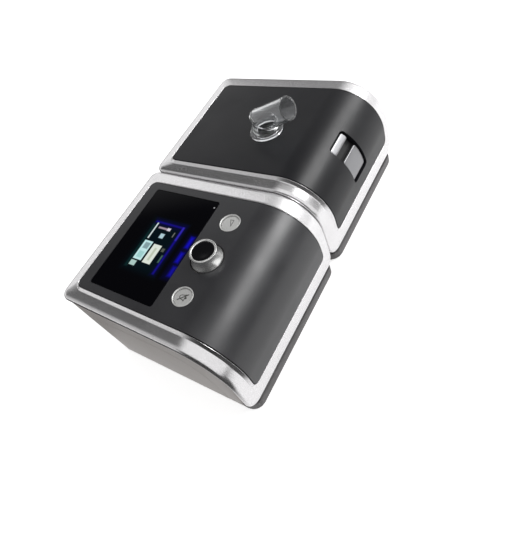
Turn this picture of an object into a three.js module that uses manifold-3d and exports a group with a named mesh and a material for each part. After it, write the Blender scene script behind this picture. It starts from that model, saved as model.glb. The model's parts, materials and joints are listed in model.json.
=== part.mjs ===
// A bedside breathing-air machine: a main unit with a control panel, and a heated humidifier
// docked on its right side. Millimetres, +Z up, +X from the main unit to the humidifier,
// +Y to the back. The origin is on the table, under the middle of the two units.
import * as THREE from 'three';
import { mergeVertices } from 'three/addons/utils/BufferGeometryUtils.js';
import Module from 'manifold-3d';

const wasm = await Module();
wasm.setup();

// Driving dimensions
const mainWidth = 176.6;
const humidifierWidth = 163.2;
const unitGap = 1.2;
const unitDepth = 194.5;
const rimHeight = 117.8;
const noseRadius = 50.5;
const topSlope = THREE.MathUtils.degToRad(4.7);
const groundClearance = 1.2;
const frameFoot = 10;

// Walls and clearances
const wall = 2.5;
const fit = 0.3;
const runFit = 0.4;
const overrun = 5;

// The silver frame that runs round each unit's top and front
const frameDepth = 6.6;
const frameFlange = 2.7;
const frameWall = 2.6;
const frameCornerBack = 10;
const frameCornerFront = 14;
const caseInset = 0.8;
const draft = Math.tan(THREE.MathUtils.degToRad(1));

// The dark panel inside the frame
const panelCornerBack = 7;
const panelCornerFront = 6;
const panelProud = 2.8;
const panelUnder = 2.6;
const panelEdge = 0.5;

// How much of the frame shows round the panel: behind it, at its sides, where the right strip is
// the wider one, and in front, as a share of the upright front
const stripBack = 16;
const mainStrip = { left: 15.8, right: 19.6 };
const lidStrip = { left: 14.8, right: 21.4 };
const stripFrontShare = 0.6447;

// The frame rises to the panel in a sloped lip
const frameLip = { under: 0.2, flat: 0.3, slope: 3.2 };

// The crown is the wall that carries the frame and the panel
const crownTop = -3.3;
const crownUnder = crownTop - wall;

// Places on the panel, measured from where the nose begins to bend or from the panel's middle
const controlSetback = 15.8;
const buttonSpreadShare = 0.2393;
const elbowSetback = 40.2;
const elbowOffset = 5.5;

// Derived places
const backY = unitDepth / 2;
const frontY = -backY;
const noseY = frontY + noseRadius;
const slopeRun = backY - noseY;
const noseZ = rimHeight - slopeRun * Math.tan(topSlope) - noseRadius / Math.cos(topSlope);
const skinFlat = slopeRun / Math.cos(topSlope) + noseRadius * Math.tan(topSlope);
const skinBend = noseRadius * (Math.PI / 2 - topSlope);
const noseEnd = skinFlat + skinBend;
const skinLength = noseEnd + noseZ - frameFoot;
const panelEnd = skinLength - (noseZ - frameFoot) * stripFrontShare;
const controlMid = (mainStrip.left + mainWidth - mainStrip.right) / 2;
const lidMid = (lidStrip.left + humidifierWidth - lidStrip.right) / 2;
const controlLine = skinFlat - controlSetback;
const buttonSpread = mainWidth * buttonSpreadShare;
const elbowAcross = lidMid - elbowOffset;
const elbowAlong = skinFlat - elbowSetback;
const mainLeft = -(mainWidth + unitGap + humidifierWidth) / 2;
const humidifierLeft = mainLeft + mainWidth + unitGap;
const caseTop = -frameDepth - fit;
const backWallAt = (z) => backY - caseInset - draft * (rimHeight - z);
const innerBackY = backWallAt(0) - wall - fit;

// How finely round forms are drawn
const bendSteps = 8;
const cornerSteps = 4;
const smallSides = 12;
const mediumSides = 16;
const largeSides = 20;

// The airway that crosses between the two units
const portBore = 10;
const portSpigot = 11.9;
const sealOuter = 14.7;

// Materials, as the photograph shows them
const finishes = {
  silver: { color: 0xc9c8c6, roughness: 0.32, metalness: 1 },
  panel: { color: 0x3b3b40, roughness: 0.4, metalness: 0.1 },
  grey: { color: 0xa8a19c, roughness: 0.55, metalness: 0 },
  dark: { color: 0x55555a, roughness: 0.6, metalness: 0 },
  black: { color: 0x08080a, roughness: 0.08, metalness: 0 },
  matteBlack: { color: 0x151517, roughness: 0.6, metalness: 0 },
  button: { color: 0xd2d0cd, roughness: 0.35, metalness: 0.6 },
  steel: { color: 0x9fa2a6, roughness: 0.3, metalness: 1 },
  rubber: { color: 0x2a2a2c, roughness: 0.9, metalness: 0 },
  board: { color: 0x1f5a35, roughness: 0.6, metalness: 0 },
  light: { color: 0x2030ff, roughness: 0.3, metalness: 0 },
  clear: { color: 0xd8dde0, roughness: 0.08, metalness: 0, transparent: true, opacity: 0.35 },
  white: { color: 0xe6e4df, roughness: 0.5, metalness: 0 },
  filter: { color: 0x8f8f8a, roughness: 1, metalness: 0 },
};

// Solids: closed meshes go in, and cuts and joins come out as closed meshes
function solid(geometry) {
  const bare = geometry.clone();
  bare.deleteAttribute('normal');
  bare.deleteAttribute('uv');
  const merged = mergeVertices(bare);
  const vertProperties = new Float32Array(merged.attributes.position.array);
  const triVerts = new Uint32Array(merged.index.array);
  return new wasm.Manifold(new wasm.Mesh({ numProp: 3, vertProperties, triVerts }));
}

function surface(body) {
  const mesh = body.getMesh();
  const geometry = new THREE.BufferGeometry();
  const places = new Float32Array(mesh.vertProperties);
  geometry.setAttribute('position', new THREE.BufferAttribute(places, 3));
  geometry.setIndex(new THREE.BufferAttribute(new Uint32Array(mesh.triVerts), 1));
  return geometry;
}

function cut(from, ...tools) {
  const body = tools.reduce((left, tool) => left.subtract(solid(tool)), solid(from));
  return surface(body);
}

function join(first, ...others) {
  const body = others.reduce((whole, other) => whole.add(solid(other)), solid(first));
  return surface(body);
}

function common(first, ...others) {
  const body = others.reduce((left, other) => left.intersect(solid(other)), solid(first));
  return surface(body);
}

// Plain forms, given by their lowest and highest corners or by their axis
function block(x0, x1, y0, y1, z0, z1) {
  const geometry = new THREE.BoxGeometry(x1 - x0, y1 - y0, z1 - z0);
  return geometry.translate((x0 + x1) / 2, (y0 + y1) / 2, (z0 + z1) / 2);
}

function upright(radius, z0, z1, x = 0, y = 0, sides = largeSides) {
  const geometry = new THREE.CylinderGeometry(radius, radius, z1 - z0, sides);
  return geometry.rotateX(Math.PI / 2).translate(x, y, (z0 + z1) / 2);
}

function cylinderX(radius, x0, x1, y, z, sides = largeSides) {
  const geometry = new THREE.CylinderGeometry(radius, radius, x1 - x0, sides);
  return geometry.rotateZ(-Math.PI / 2).translate((x0 + x1) / 2, y, z);
}

function cylinderY(radius, y0, y1, x, z, sides = mediumSides) {
  return new THREE.CylinderGeometry(radius, radius, y1 - y0, sides).translate(x, (y0 + y1) / 2, z);
}

// A turned form: the outline runs from the lower end to the upper end, and closes on itself
function turned(outline, x = 0, y = 0, sides = largeSides) {
  const points = outline.map(([radius, height]) => new THREE.Vector2(radius, height));
  const onAxis = points[0].x === 0 && points[points.length - 1].x === 0;
  if (!onAxis) points.push(points[0].clone());
  return new THREE.LatheGeometry(points, sides).rotateX(Math.PI / 2).translate(x, y, 0);
}

// A side view drawn in Y and Z, drawn out along X
function alongX(outline, x0, x1) {
  const shape = new THREE.Shape(outline.map(([y, z]) => new THREE.Vector2(y, z)));
  const geometry = new THREE.ExtrudeGeometry(shape, { depth: x1 - x0, bevelEnabled: false });
  const turn = new THREE.Matrix4().makeBasis(
    new THREE.Vector3(0, 1, 0), new THREE.Vector3(0, 0, 1), new THREE.Vector3(1, 0, 0));
  return geometry.applyMatrix4(turn).translate(x0, 0, 0);
}

// A plan drawn in X and Y, drawn up along Z
function alongZ(outline, z0, z1) {
  const shape = new THREE.Shape(outline.map(([x, y]) => new THREE.Vector2(x, y)));
  const geometry = new THREE.ExtrudeGeometry(shape, { depth: z1 - z0, bevelEnabled: false });
  return geometry.translate(0, 0, z0);
}

// A loop of points round a rectangle with round corners, counter-clockwise
function loop({ x0, x1, y0, y1, front, back }) {
  const corners = [
    [x1 - front, y0 + front, front, -Math.PI / 2],
    [x1 - back, y1 - back, back, 0],
    [x0 + back, y1 - back, back, Math.PI / 2],
    [x0 + front, y0 + front, front, Math.PI],
  ];
  const points = [];
  for (const [x, y, radius, start] of corners) {
    for (let step = 0; step <= cornerSteps; step += 1) {
      const angle = start + (Math.PI / 2) * (step / cornerSteps);
      points.push([x + radius * Math.cos(angle), y + radius * Math.sin(angle)]);
    }
  }
  return points;
}

const sharpest = 0.6;

function inset(outline, by) {
  return {
    x0: outline.x0 + by,
    x1: outline.x1 - by,
    y0: outline.y0 + by,
    y1: outline.y1 - by,
    front: Math.max(outline.front - by, sharpest),
    back: Math.max(outline.back - by, sharpest),
  };
}

// Loops stacked one over the other: levels are [outline, height], and the ends are closed flat
function stack(levels, ring = false) {
  const positions = [];
  const index = [];
  const rows = levels.map(([outline, height]) => loop(outline).map(([x, y]) => [x, y, height]));
  const count = rows[0].length;
  rows.flat().forEach((point) => positions.push(...point));
  const pairs = ring ? rows.length : rows.length - 1;
  for (let row = 0; row < pairs; row += 1) {
    const next = (row + 1) % rows.length;
    for (let step = 0; step < count; step += 1) {
      const after = (step + 1) % count;
      const a = row * count + step;
      const b = row * count + after;
      const c = next * count + after;
      const d = next * count + step;
      index.push(a, b, c, a, c, d);
    }
  }
  if (!ring) {
    const top = (rows.length - 1) * count;
    for (let step = 0; step < count / 2 - 1; step += 1) {
      const mirrored = count - 1 - step;
      index.push(step, mirrored - 1, step + 1, step, mirrored, mirrored - 1);
      index.push(top + step, top + step + 1, top + mirrored - 1);
      index.push(top + step, top + mirrored - 1, top + mirrored);
    }
  }
  const geometry = new THREE.BufferGeometry();
  geometry.setAttribute('position', new THREE.BufferAttribute(new Float32Array(positions), 3));
  geometry.setIndex(index);
  return geometry;
}

// The skin: the side view of each unit, a sloped top, a round nose and an upright front.
// along is measured from the back edge, and lift stands off the skin, outwards.
function skin(along, lift = 0) {
  if (along <= skinFlat) {
    return [
      backY - along * Math.cos(topSlope) - lift * Math.sin(topSlope),
      rimHeight - along * Math.sin(topSlope) + lift * Math.cos(topSlope),
    ];
  }
  if (along <= skinFlat + skinBend) {
    const angle = topSlope + (along - skinFlat) / noseRadius;
    const radius = noseRadius + lift;
    return [noseY - radius * Math.sin(angle), noseZ + radius * Math.cos(angle)];
  }
  return [frontY - lift, noseZ - (along - skinFlat - skinBend)];
}

// Cuts every triangle of a flat pattern along the lines where the pattern is going to bend.
// Points on a shared edge are made once, so the pattern stays closed.
function scored(geometry, levels) {
  const source = Array.from(geometry.attributes.position.array);
  const positions = [...source];
  const index = [];
  const made = new Map();
  const height = (i) => source[3 * i + 1];
  const crossing = (i, j, level) => {
    const low = Math.min(i, j);
    const high = Math.max(i, j);
    const key = `${low}_${high}_${level}`;
    if (!made.has(key)) {
      const share = (level - height(low)) / (height(high) - height(low));
      const mix = (k) => source[3 * low + k] + share * (source[3 * high + k] - source[3 * low + k]);
      made.set(key, positions.length / 3);
      positions.push(mix(0), level, mix(2));
    }
    return made.get(key);
  };
  const limits = [-Infinity, ...levels, Infinity];
  const old = geometry.index.array;
  for (let t = 0; t < old.length; t += 3) {
    const corners = [old[t], old[t + 1], old[t + 2]];
    for (let strip = 0; strip < limits.length - 1; strip += 1) {
      const bottom = limits[strip];
      const top = limits[strip + 1];
      const polygon = [];
      for (let k = 0; k < 3; k += 1) {
        const here = corners[k];
        const next = corners[(k + 1) % 3];
        if (height(here) >= bottom && height(here) <= top) polygon.push(here);
        const rising = height(next) > height(here);
        for (const level of rising ? [bottom, top] : [top, bottom]) {
          const between = (height(here) - level) * (height(next) - level) < 0;
          if (between) polygon.push(crossing(here, next, level));
        }
      }
      for (let k = 1; k < polygon.length - 1; k += 1) {
        index.push(polygon[0], polygon[k], polygon[k + 1]);
      }
    }
  }
  const result = new THREE.BufferGeometry();
  result.setAttribute('position', new THREE.BufferAttribute(new Float32Array(positions), 3));
  result.setIndex(index);
  return result;
}

// Lays a flat pattern on the skin: x stays, y = -along and z = lift
function wrap(flatPattern) {
  const levels = [];
  for (let step = bendSteps; step >= 0; step -= 1) {
    levels.push(-(skinFlat + skinBend * (step / bendSteps)));
  }
  const geometry = scored(surface(solid(flatPattern)), levels);
  const position = geometry.attributes.position;
  for (let i = 0; i < position.count; i += 1) {
    const [y, z] = skin(-position.getY(i), position.getZ(i));
    position.setXYZ(i, position.getX(i), y, z);
  }
  return geometry;
}

// Points of the skin's side view at one lift, from the back edge down to a height on the front
function skinOutline(lift, lowest) {
  const points = [skin(0, lift)];
  for (let step = 0; step <= bendSteps; step += 1) {
    points.push(skin(skinFlat + skinBend * (step / bendSteps), lift));
  }
  points.push([frontY - lift, lowest]);
  return points;
}

const parts = new THREE.Group();
const mainUnit = new THREE.Group();
const humidifier = new THREE.Group();
mainUnit.position.x = mainLeft;
humidifier.position.x = humidifierLeft;
parts.add(mainUnit, humidifier);

function add(unit, name, geometry, finish) {
  const mesh = new THREE.Mesh(geometry, new THREE.MeshStandardMaterial(finishes[finish]));
  mesh.name = name;
  mesh.material.name = finish;
  unit.add(mesh);
}

// Outlines on the flat pattern of a unit
function unitOutline(width) {
  return { x0: 0, x1: width, y0: -skinLength, y1: 0, front: frameCornerFront, back: frameCornerBack };
}

function panelOutline(width, strip) {
  return {
    x0: strip.left,
    x1: width - strip.right,
    y0: -panelEnd,
    y1: -stripBack,
    front: panelCornerFront,
    back: panelCornerBack,
  };
}

// The silver frame: a ring with a raised lip round the panel, a strip that falls a little
// outwards, a soft edge and a short skirt
function frameRing(width, strip) {
  const outer = unitOutline(width);
  const opening = inset(panelOutline(width, strip), -fit);
  const edgeInsets = [4.6, 1.7, 0.4, 0, 0.3];
  const edgeLifts = [-1.2, -2.2, -3.5, -5, -frameDepth];
  const levels = [
    [opening, -frameFlange],
    [opening, panelProud - frameLip.under],
    [inset(opening, -frameLip.flat), panelProud - frameLip.under],
    [inset(opening, -frameLip.flat - frameLip.slope), 0],
  ];
  edgeInsets.forEach((by, i) => levels.push([inset(outer, by), edgeLifts[i]]));
  levels.push([inset(outer, frameWall), -frameDepth]);
  levels.push([inset(outer, frameWall), -frameFlange - fit]);
  return wrap(stack(levels.reverse(), true));
}

// The dark panel as a flat pattern, with a small bevel round its top
function panelPattern(width, strip) {
  const outline = panelOutline(width, strip);
  return stack([
    [outline, -panelUnder],
    [outline, panelProud - panelEdge],
    [inset(outline, panelEdge), panelProud],
  ]);
}

// Case shells. The walls lean in towards the table by the draft angle.
function leaning(geometry, width) {
  const position = geometry.attributes.position;
  for (let i = 0; i < position.count; i += 1) {
    const amount = draft * (rimHeight - position.getZ(i));
    const middle = width / 2;
    const x = middle + (position.getX(i) - middle) * (1 - amount / middle);
    const y = position.getY(i) - (position.getY(i) > 0 ? amount : 0);
    position.setXYZ(i, x, y, position.getZ(i));
  }
  return geometry;
}

// Where the base shows in front, below the frame and ahead of the case
const baseStep = 17;
const baseStepY = frontY + baseStep;
const caseCorner = 10;

// The box of a case: the skin's side view below the frame's skirt, with round upright corners.
// by moves every wall inwards, and low is the height of its underside.
function caseBody(width, by, low) {
  const lift = caseTop - by;
  const outline = [
    [backY - caseInset - by, low],
    [baseStepY + by, low],
    [baseStepY + by, frameFoot + fit + by],
    ...skinOutline(lift, frameFoot + fit + by).reverse(),
  ];
  const plan = {
    x0: caseInset + by,
    x1: width - caseInset - by,
    y0: frontY - caseTop + by,
    y1: backY - caseInset - by,
    front: caseCorner - by,
    back: caseCorner - by,
  };
  const sides = alongX(outline, plan.x0, plan.x1);
  const corners = stack([[plan, low - overrun], [plan, rimHeight + overrun]]);
  return leaning(common(sides, corners), width);
}

// The crown under the frame and the panel, by moves its rim inwards
function crownPattern(width, by, under, top) {
  const outline = inset(unitOutline(width), frameWall + fit + by);
  return stack([[outline, under], [outline, top]]);
}

const crownDepth = 12;

function mainShell() {
  const outer = join(
    caseBody(mainWidth, 0, groundClearance),
    wrap(crownPattern(mainWidth, 0, -crownDepth, crownTop)));
  const inside = caseInset + draft * rimHeight + wall;
  return cut(
    outer,
    caseBody(mainWidth, wall, -overrun),
    block(inside, mainWidth - inside, baseStepY - overrun, baseStepY + 2 * wall,
      -overrun, frameFoot + fit),
    wrap(crownPattern(mainWidth, wall, -crownDepth - overrun, crownUnder)));
}

// The parting line on the main unit's side: level from the back, then down to the front foot
const partingDrop = 37.5;
const partingZ = rimHeight - partingDrop;
const partingBend = 5;
const kneeSetback = 38.5;
const kneeDrop = 40;
const partingKnee = { y: frontY + kneeSetback, z: partingZ - kneeDrop };
const footSetback = 33.5;
const partingFootY = frontY + footSetback;
const partingPull = { back: 44, down: 28 };
const partingSteps = 8;

function lowerRegion(by) {
  const curve = new THREE.CubicBezierCurve(
    new THREE.Vector2(partingBend, partingZ + by),
    new THREE.Vector2(partingBend - partingPull.back, partingZ + by),
    new THREE.Vector2(partingKnee.y - by, partingKnee.z + partingPull.down),
    new THREE.Vector2(partingKnee.y - by, partingKnee.z));
  const outline = [
    [partingFootY - by, -overrun],
    [backY + overrun, -overrun],
    [backY + overrun, partingZ + by],
    ...curve.getPoints(partingSteps).map((point) => [point.x, point.y]),
  ];
  return alongX(outline, -overrun, mainWidth + overrun);
}

// The base pan: a floor inside the case walls, and a lip that shows at the front
const floorTop = groundClearance + wall;
const lipInset = 2.7;
const floorInset = caseInset + draft * rimHeight + wall + fit;
const lipTop = frameFoot - fit;
const lipCorner = 12;
const lipFrontY = frontY + caseInset;
const foot = { radius: 6, seat: 1.2, side: 24, fromFront: 29.5, fromBack: 23.5 };

function footPlaces(width) {
  const front = frontY + foot.fromFront;
  const back = backY - foot.fromBack;
  return [
    ['front_left', foot.side, front],
    ['front_right', width - foot.side, front],
    ['back_left', foot.side, back],
    ['back_right', width - foot.side, back],
  ];
}

function basePan(width) {
  const lip = {
    x0: lipInset,
    x1: width - lipInset,
    y0: lipFrontY,
    y1: baseStepY - fit,
    front: lipCorner,
    back: sharpest,
  };
  const hollow = { ...inset(lip, wall), y1: baseStepY + overrun };
  const floor = {
    x0: floorInset,
    x1: width - floorInset,
    y0: lipFrontY + wall,
    y1: backY - floorInset,
    front: caseCorner,
    back: caseCorner,
  };
  const pan = join(
    cut(
      stack([[lip, groundClearance], [lip, lipTop]]),
      stack([[hollow, floorTop], [hollow, lipTop + overrun]])),
    stack([[floor, groundClearance], [floor, floorTop]]));
  const seatTop = groundClearance + foot.seat;
  const seats = footPlaces(width).map(([, x, y]) => (
    upright(foot.radius + fit, groundClearance - overrun, seatTop, x, y, smallSides)));
  return cut(pan, ...seats);
}

function footPad() {
  const rounding = 0.8;
  const top = groundClearance + foot.seat - fit;
  return turned([
    [0, 0],
    [foot.radius - rounding, 0],
    [foot.radius, rounding],
    [foot.radius, top],
    [0, top],
  ], 0, 0, smallSides);
}

function addFeet(unit, prefix, width) {
  for (const [place, x, y] of footPlaces(width)) {
    add(unit, `${prefix}_foot_${place}`, footPad().translate(x, y, 0), 'rubber');
  }
}

// Control area, on the flat pattern: the display window, the knob and two round buttons
const windowSide = 8.3;
const windowBack = 28.4;
const windowToControls = 22.3;
const windowFront = controlLine - windowToControls;
const windowCorner = 3;
const windowLedge = 1.6;
const ledgeHeight = 0.1;
const lensTop = 2.6;
const knobHole = 16.5;
const bezelRadius = 10.2;
const capRadius = 8.7;
const bezelSeat = -0.4;
const stemRadius = 3.2;
const encoderHole = 9.2;

// The screen covers the middle of the window, in shares of the window's length
const screenBackShare = 0.306;
const screenFrontShare = 0.781;
const windowLength = windowFront - windowBack;
const screen = {
  half: 30,
  back: windowBack + windowLength * screenBackShare,
  front: windowBack + windowLength * screenFrontShare,
  depth: 5.3,
};

function windowOutline(by) {
  const outline = {
    x0: mainStrip.left + windowSide,
    x1: mainWidth - mainStrip.right - windowSide,
    y0: -windowFront,
    y1: -windowBack,
    front: windowCorner,
    back: windowCorner,
  };
  return inset(outline, by);
}

const buttonPlaces = [
  ['mute', controlMid - buttonSpread],
  ['ramp', controlMid + buttonSpread],
];

function mainPanel() {
  const through = panelUnder + overrun;
  const bed = windowOutline(0);
  const hole = windowOutline(windowLedge);
  const openings = [
    wrap(stack([[bed, ledgeHeight], [bed, panelProud + overrun]])),
    wrap(stack([[hole, -through], [hole, ledgeHeight + fit]])),
    wrap(upright(knobHole, -through, through, controlMid, -controlLine)),
  ];
  for (const [, x] of buttonPlaces) {
    openings.push(wrap(upright(bezelRadius + fit, bezelSeat, panelProud + overrun, x, -controlLine)));
    openings.push(wrap(upright(capRadius + runFit, -through, bezelSeat + fit, x, -controlLine)));
  }
  return cut(wrap(panelPattern(mainWidth, mainStrip)), ...openings);
}

function displayWindow() {
  const outline = windowOutline(fit);
  const edge = 0.4;
  return wrap(stack([
    [outline, ledgeHeight + fit],
    [outline, lensTop - edge],
    [inset(outline, edge), lensTop],
  ]));
}

// Under the panel: the button stems, the knob's encoder and the display pass through the crown
const boardTop = crownUnder - fit;
const boardThickness = 1.6;
const keypad = { side: 24, back: 44, overlap: 12.6, corner: 3 };

function screenOutline(by) {
  return {
    x0: controlMid - screen.half + by,
    x1: controlMid + screen.half - by,
    y0: -screen.front + by,
    y1: -screen.back - by,
    front: sharpest,
    back: sharpest,
  };
}

function addControls() {
  add(mainUnit, 'main_panel', mainPanel(), 'panel');
  add(mainUnit, 'display_window', displayWindow(), 'black');
  const module = screenOutline(fit);
  const modulePattern = stack([[module, boardTop + fit], [module, boardTop + fit + screen.depth]]);
  add(mainUnit, 'display_module', wrap(modulePattern), 'matteBlack');

  // A light guide bent round the knob, just under the window
  const guide = { radius: 29, width: 2, reach: THREE.MathUtils.degToRad(29), under: -2.9, top: 0 };
  const guideSteps = 8;
  const arc = [];
  for (let step = 0; step <= guideSteps; step += 1) {
    const angle = Math.PI / 2 - guide.reach + 2 * guide.reach * (step / guideSteps);
    arc.push([Math.cos(angle), Math.sin(angle)]);
  }
  const inner = arc.map(([x, y]) => [controlMid + guide.radius * x, guide.radius * y - controlLine]);
  const outerRadius = guide.radius + guide.width;
  const outer = arc.map(([x, y]) => [controlMid + outerRadius * x, outerRadius * y - controlLine]);
  const guideRing = alongZ([...inner.reverse(), ...outer], guide.under, guide.top);
  add(mainUnit, 'arc_light_guide', wrap(guideRing), 'light');

  const bezel = { inner: capRadius + fit, lip: 0.6, top: 2.9, chamfer: 0.7 };
  const cap = { under: -2.1, top: 1.5, edge: 0.6, stemEnd: -5 };
  for (const [name, x] of buttonPlaces) {
    add(mainUnit, `${name}_bezel`, wrap(turned([
      [bezel.inner, bezelSeat + fit],
      [bezelRadius, bezelSeat + fit],
      [bezelRadius, bezel.top],
      [bezelRadius - bezel.lip, bezel.top],
      [bezel.inner, bezel.top - bezel.chamfer],
    ], x, -controlLine)), 'silver');
    add(mainUnit, `${name}_button`, wrap(turned([
      [0, cap.stemEnd],
      [stemRadius, cap.stemEnd],
      [stemRadius, cap.under],
      [capRadius, cap.under],
      [capRadius, cap.top - cap.edge],
      [capRadius - cap.edge, cap.top],
      [0, cap.top],
    ], x, -controlLine)), 'button');
  }

  const board = {
    x0: keypad.side,
    x1: mainWidth - keypad.side,
    y0: -controlLine - keypad.overlap,
    y1: -keypad.back,
    front: keypad.corner,
    back: keypad.corner,
  };
  const boardPattern = stack([[board, boardTop - boardThickness], [board, boardTop]]);
  add(mainUnit, 'keypad_board', wrap(boardPattern), 'board');

  // The knob: an encoder on the board, a plunger that it presses, a shaft, a flared body and a cap
  const encoder = { half: 6, top: -1, bore: 3.3, floor: boardTop + fit };
  const plunger = { radius: 2.4, top: -3.3 };
  const shaft = { radius: 2.9, top: 10 };
  const knob = {
    base: 15.5,
    baseUnder: 0.9,
    baseTop: 2.6,
    shoulder: 14.6,
    shoulderTop: 4.6,
    waist: 13,
    waistTop: 9,
    neck: 12.6,
    neckTop: 12,
    rim: 12.9,
    rimUnder: 14,
    rimTop: 14.5,
    rimInner: 11.3,
    dish: 10.5,
    dishFloor: 12.6,
    bore: 3.2,
  };
  const cover = { top: 14, edge: 0.5, middle: 13.5 };
  const body = block(-encoder.half, encoder.half, -encoder.half, encoder.half,
    encoder.floor, encoder.top);
  const bore = upright(encoder.bore, encoder.floor + fit, encoder.top + overrun, 0, 0, smallSides);
  const toKnob = (geometry) => wrap(geometry.translate(controlMid, -controlLine, 0));
  add(mainUnit, 'encoder_housing', toKnob(cut(body, bore)), 'matteBlack');
  const plungerFoot = encoder.floor + fit + runFit + knob.baseUnder;
  const plungerPin = upright(plunger.radius, plungerFoot, plunger.top, 0, 0, smallSides);
  add(mainUnit, 'encoder_plunger', toKnob(plungerPin), 'white');
  const shaftPin = upright(shaft.radius, plunger.top + fit, shaft.top, 0, 0, smallSides);
  add(mainUnit, 'knob_shaft', toKnob(shaftPin), 'steel');
  const turnedKnob = turned([
    [0, shaft.top + fit],
    [knob.bore, shaft.top + fit],
    [knob.bore, knob.baseUnder],
    [knob.base, knob.baseUnder],
    [knob.base, knob.baseTop],
    [knob.shoulder, knob.shoulderTop],
    [knob.waist, knob.waistTop],
    [knob.neck, knob.neckTop],
    [knob.rim, knob.rimUnder],
    [knob.rim - cover.edge, knob.rimTop],
    [knob.rimInner, knob.rimTop],
    [knob.dish, knob.rimTop - cover.edge],
    [knob.dish, knob.dishFloor],
    [0, knob.dishFloor],
  ]);
  add(mainUnit, 'knob_body', toKnob(turnedKnob), 'steel');
  add(mainUnit, 'knob_cap', toKnob(turned([
    [0, knob.dishFloor + fit],
    [knob.dish - fit, knob.dishFloor + fit],
    [knob.dish - fit, cover.top - cover.edge],
    [knob.dish - fit - cover.edge, cover.top],
    [0, cover.middle],
  ])), 'black');
}

// The blower: a snail-shaped housing in two halves on a rubber ring, with a bladed wheel inside.
// The wheel is as large as the unit's width and depth leave room for, and the housing follows it.
const wheelWidthShare = 0.1756;
const wheelDepthShare = 0.1594;
const growthShare = 0.516;
const wheelGap = 5;
const wheelRadius = Math.min(mainWidth * wheelWidthShare, unitDepth * wheelDepthShare);
const intakeDepth = 32.85;
const intakeGap = 7.8;
const intakeFrontY = innerBackY - intakeDepth;
const housing = {
  start: wheelRadius + wheelGap,
  growth: wheelRadius * growthShare,
  shell: 2.2,
  bottom: 10.2,
  joint: 26,
  top: 42,
};
const blower = {
  ...housing,
  offset: 13.75,
  tongue: THREE.MathUtils.degToRad(60),
  eye: 18,
  eyeTop: 46,
};
blower.x = controlMid - blower.offset;
blower.y = intakeFrontY - intakeGap - blower.start - blower.growth - blower.shell;
const blowerEnd = blower.x + blower.start + blower.growth;

// The port in the wall between the units stands beside the blower's outlet, and above it
const portShift = 2;
const portDrop = 22;
const portY = blower.y + blower.start + blower.growth / 2 - portShift;
const portZ = partingZ - portDrop;

function volutePlan(by, end) {
  const steps = 18;
  const first = -3 * Math.PI / 2;
  const reach = (angle) => blower.start + blower.growth * ((Math.PI / 2 - angle) / (2 * Math.PI)) + by;
  const outline = [[end, blower.y + blower.start + blower.growth + by]];
  for (let step = 0; step <= steps; step += 1) {
    const angle = first + (blower.tongue - first) * (step / steps);
    const radius = reach(angle);
    outline.push([blower.x + radius * Math.cos(angle), blower.y + radius * Math.sin(angle)]);
  }
  const tongueRadius = reach(blower.tongue) - by;
  outline.push([end, blower.y + tongueRadius * Math.sin(blower.tongue) - by]);
  return outline.reverse();
}

const wheel = {
  radius: wheelRadius,
  discUnder: 17,
  discTop: 18.8,
  hub: 6,
  hubTop: 30,
  bladeTop: 32,
  bladeInner: 11,
  blade: 1.6,
  sweep: THREE.MathUtils.degToRad(50),
  count: 7,
};
const motor = { shaft: 2.5, shaftTop: 31.5, drum: 7, drumTop: 16.2, coil: 12.5 };

function bladedWheel() {
  const steps = 3;
  const blades = [];
  for (let number = 0; number < wheel.count; number += 1) {
    const turn = (2 * Math.PI * number) / wheel.count;
    const side = (shift) => {
      const points = [];
      for (let step = 0; step <= steps; step += 1) {
        const share = step / steps;
        const radius = wheel.bladeInner + (wheel.radius - wheel.bladeInner) * share;
        const angle = turn + wheel.sweep * share * share + shift / radius;
        points.push([radius * Math.cos(angle), radius * Math.sin(angle)]);
      }
      return points;
    };
    const outline = [...side(-wheel.blade / 2), ...side(wheel.blade / 2).reverse()];
    blades.push(alongZ(outline, wheel.discTop - fit, wheel.bladeTop));
  }
  const hub = turned([
    [0, wheel.discUnder],
    [wheel.radius, wheel.discUnder],
    [wheel.radius, wheel.discTop],
    [wheel.hub * 2, wheel.discTop],
    [wheel.hub, wheel.discTop + wheel.hub],
    [wheel.hub, wheel.hubTop],
    [0, wheel.hubTop],
  ]);
  const low = wheel.discUnder - overrun;
  const high = wheel.hubTop + overrun;
  return cut(join(hub, ...blades), upright(motor.shaft + fit, low, high, 0, 0, smallSides));
}

const mountRing = { inside: 3, outside: 2 };
const duct = { outer: 13, flange: 2.4, lead: 18 };
const ductSteps = 5;

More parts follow.
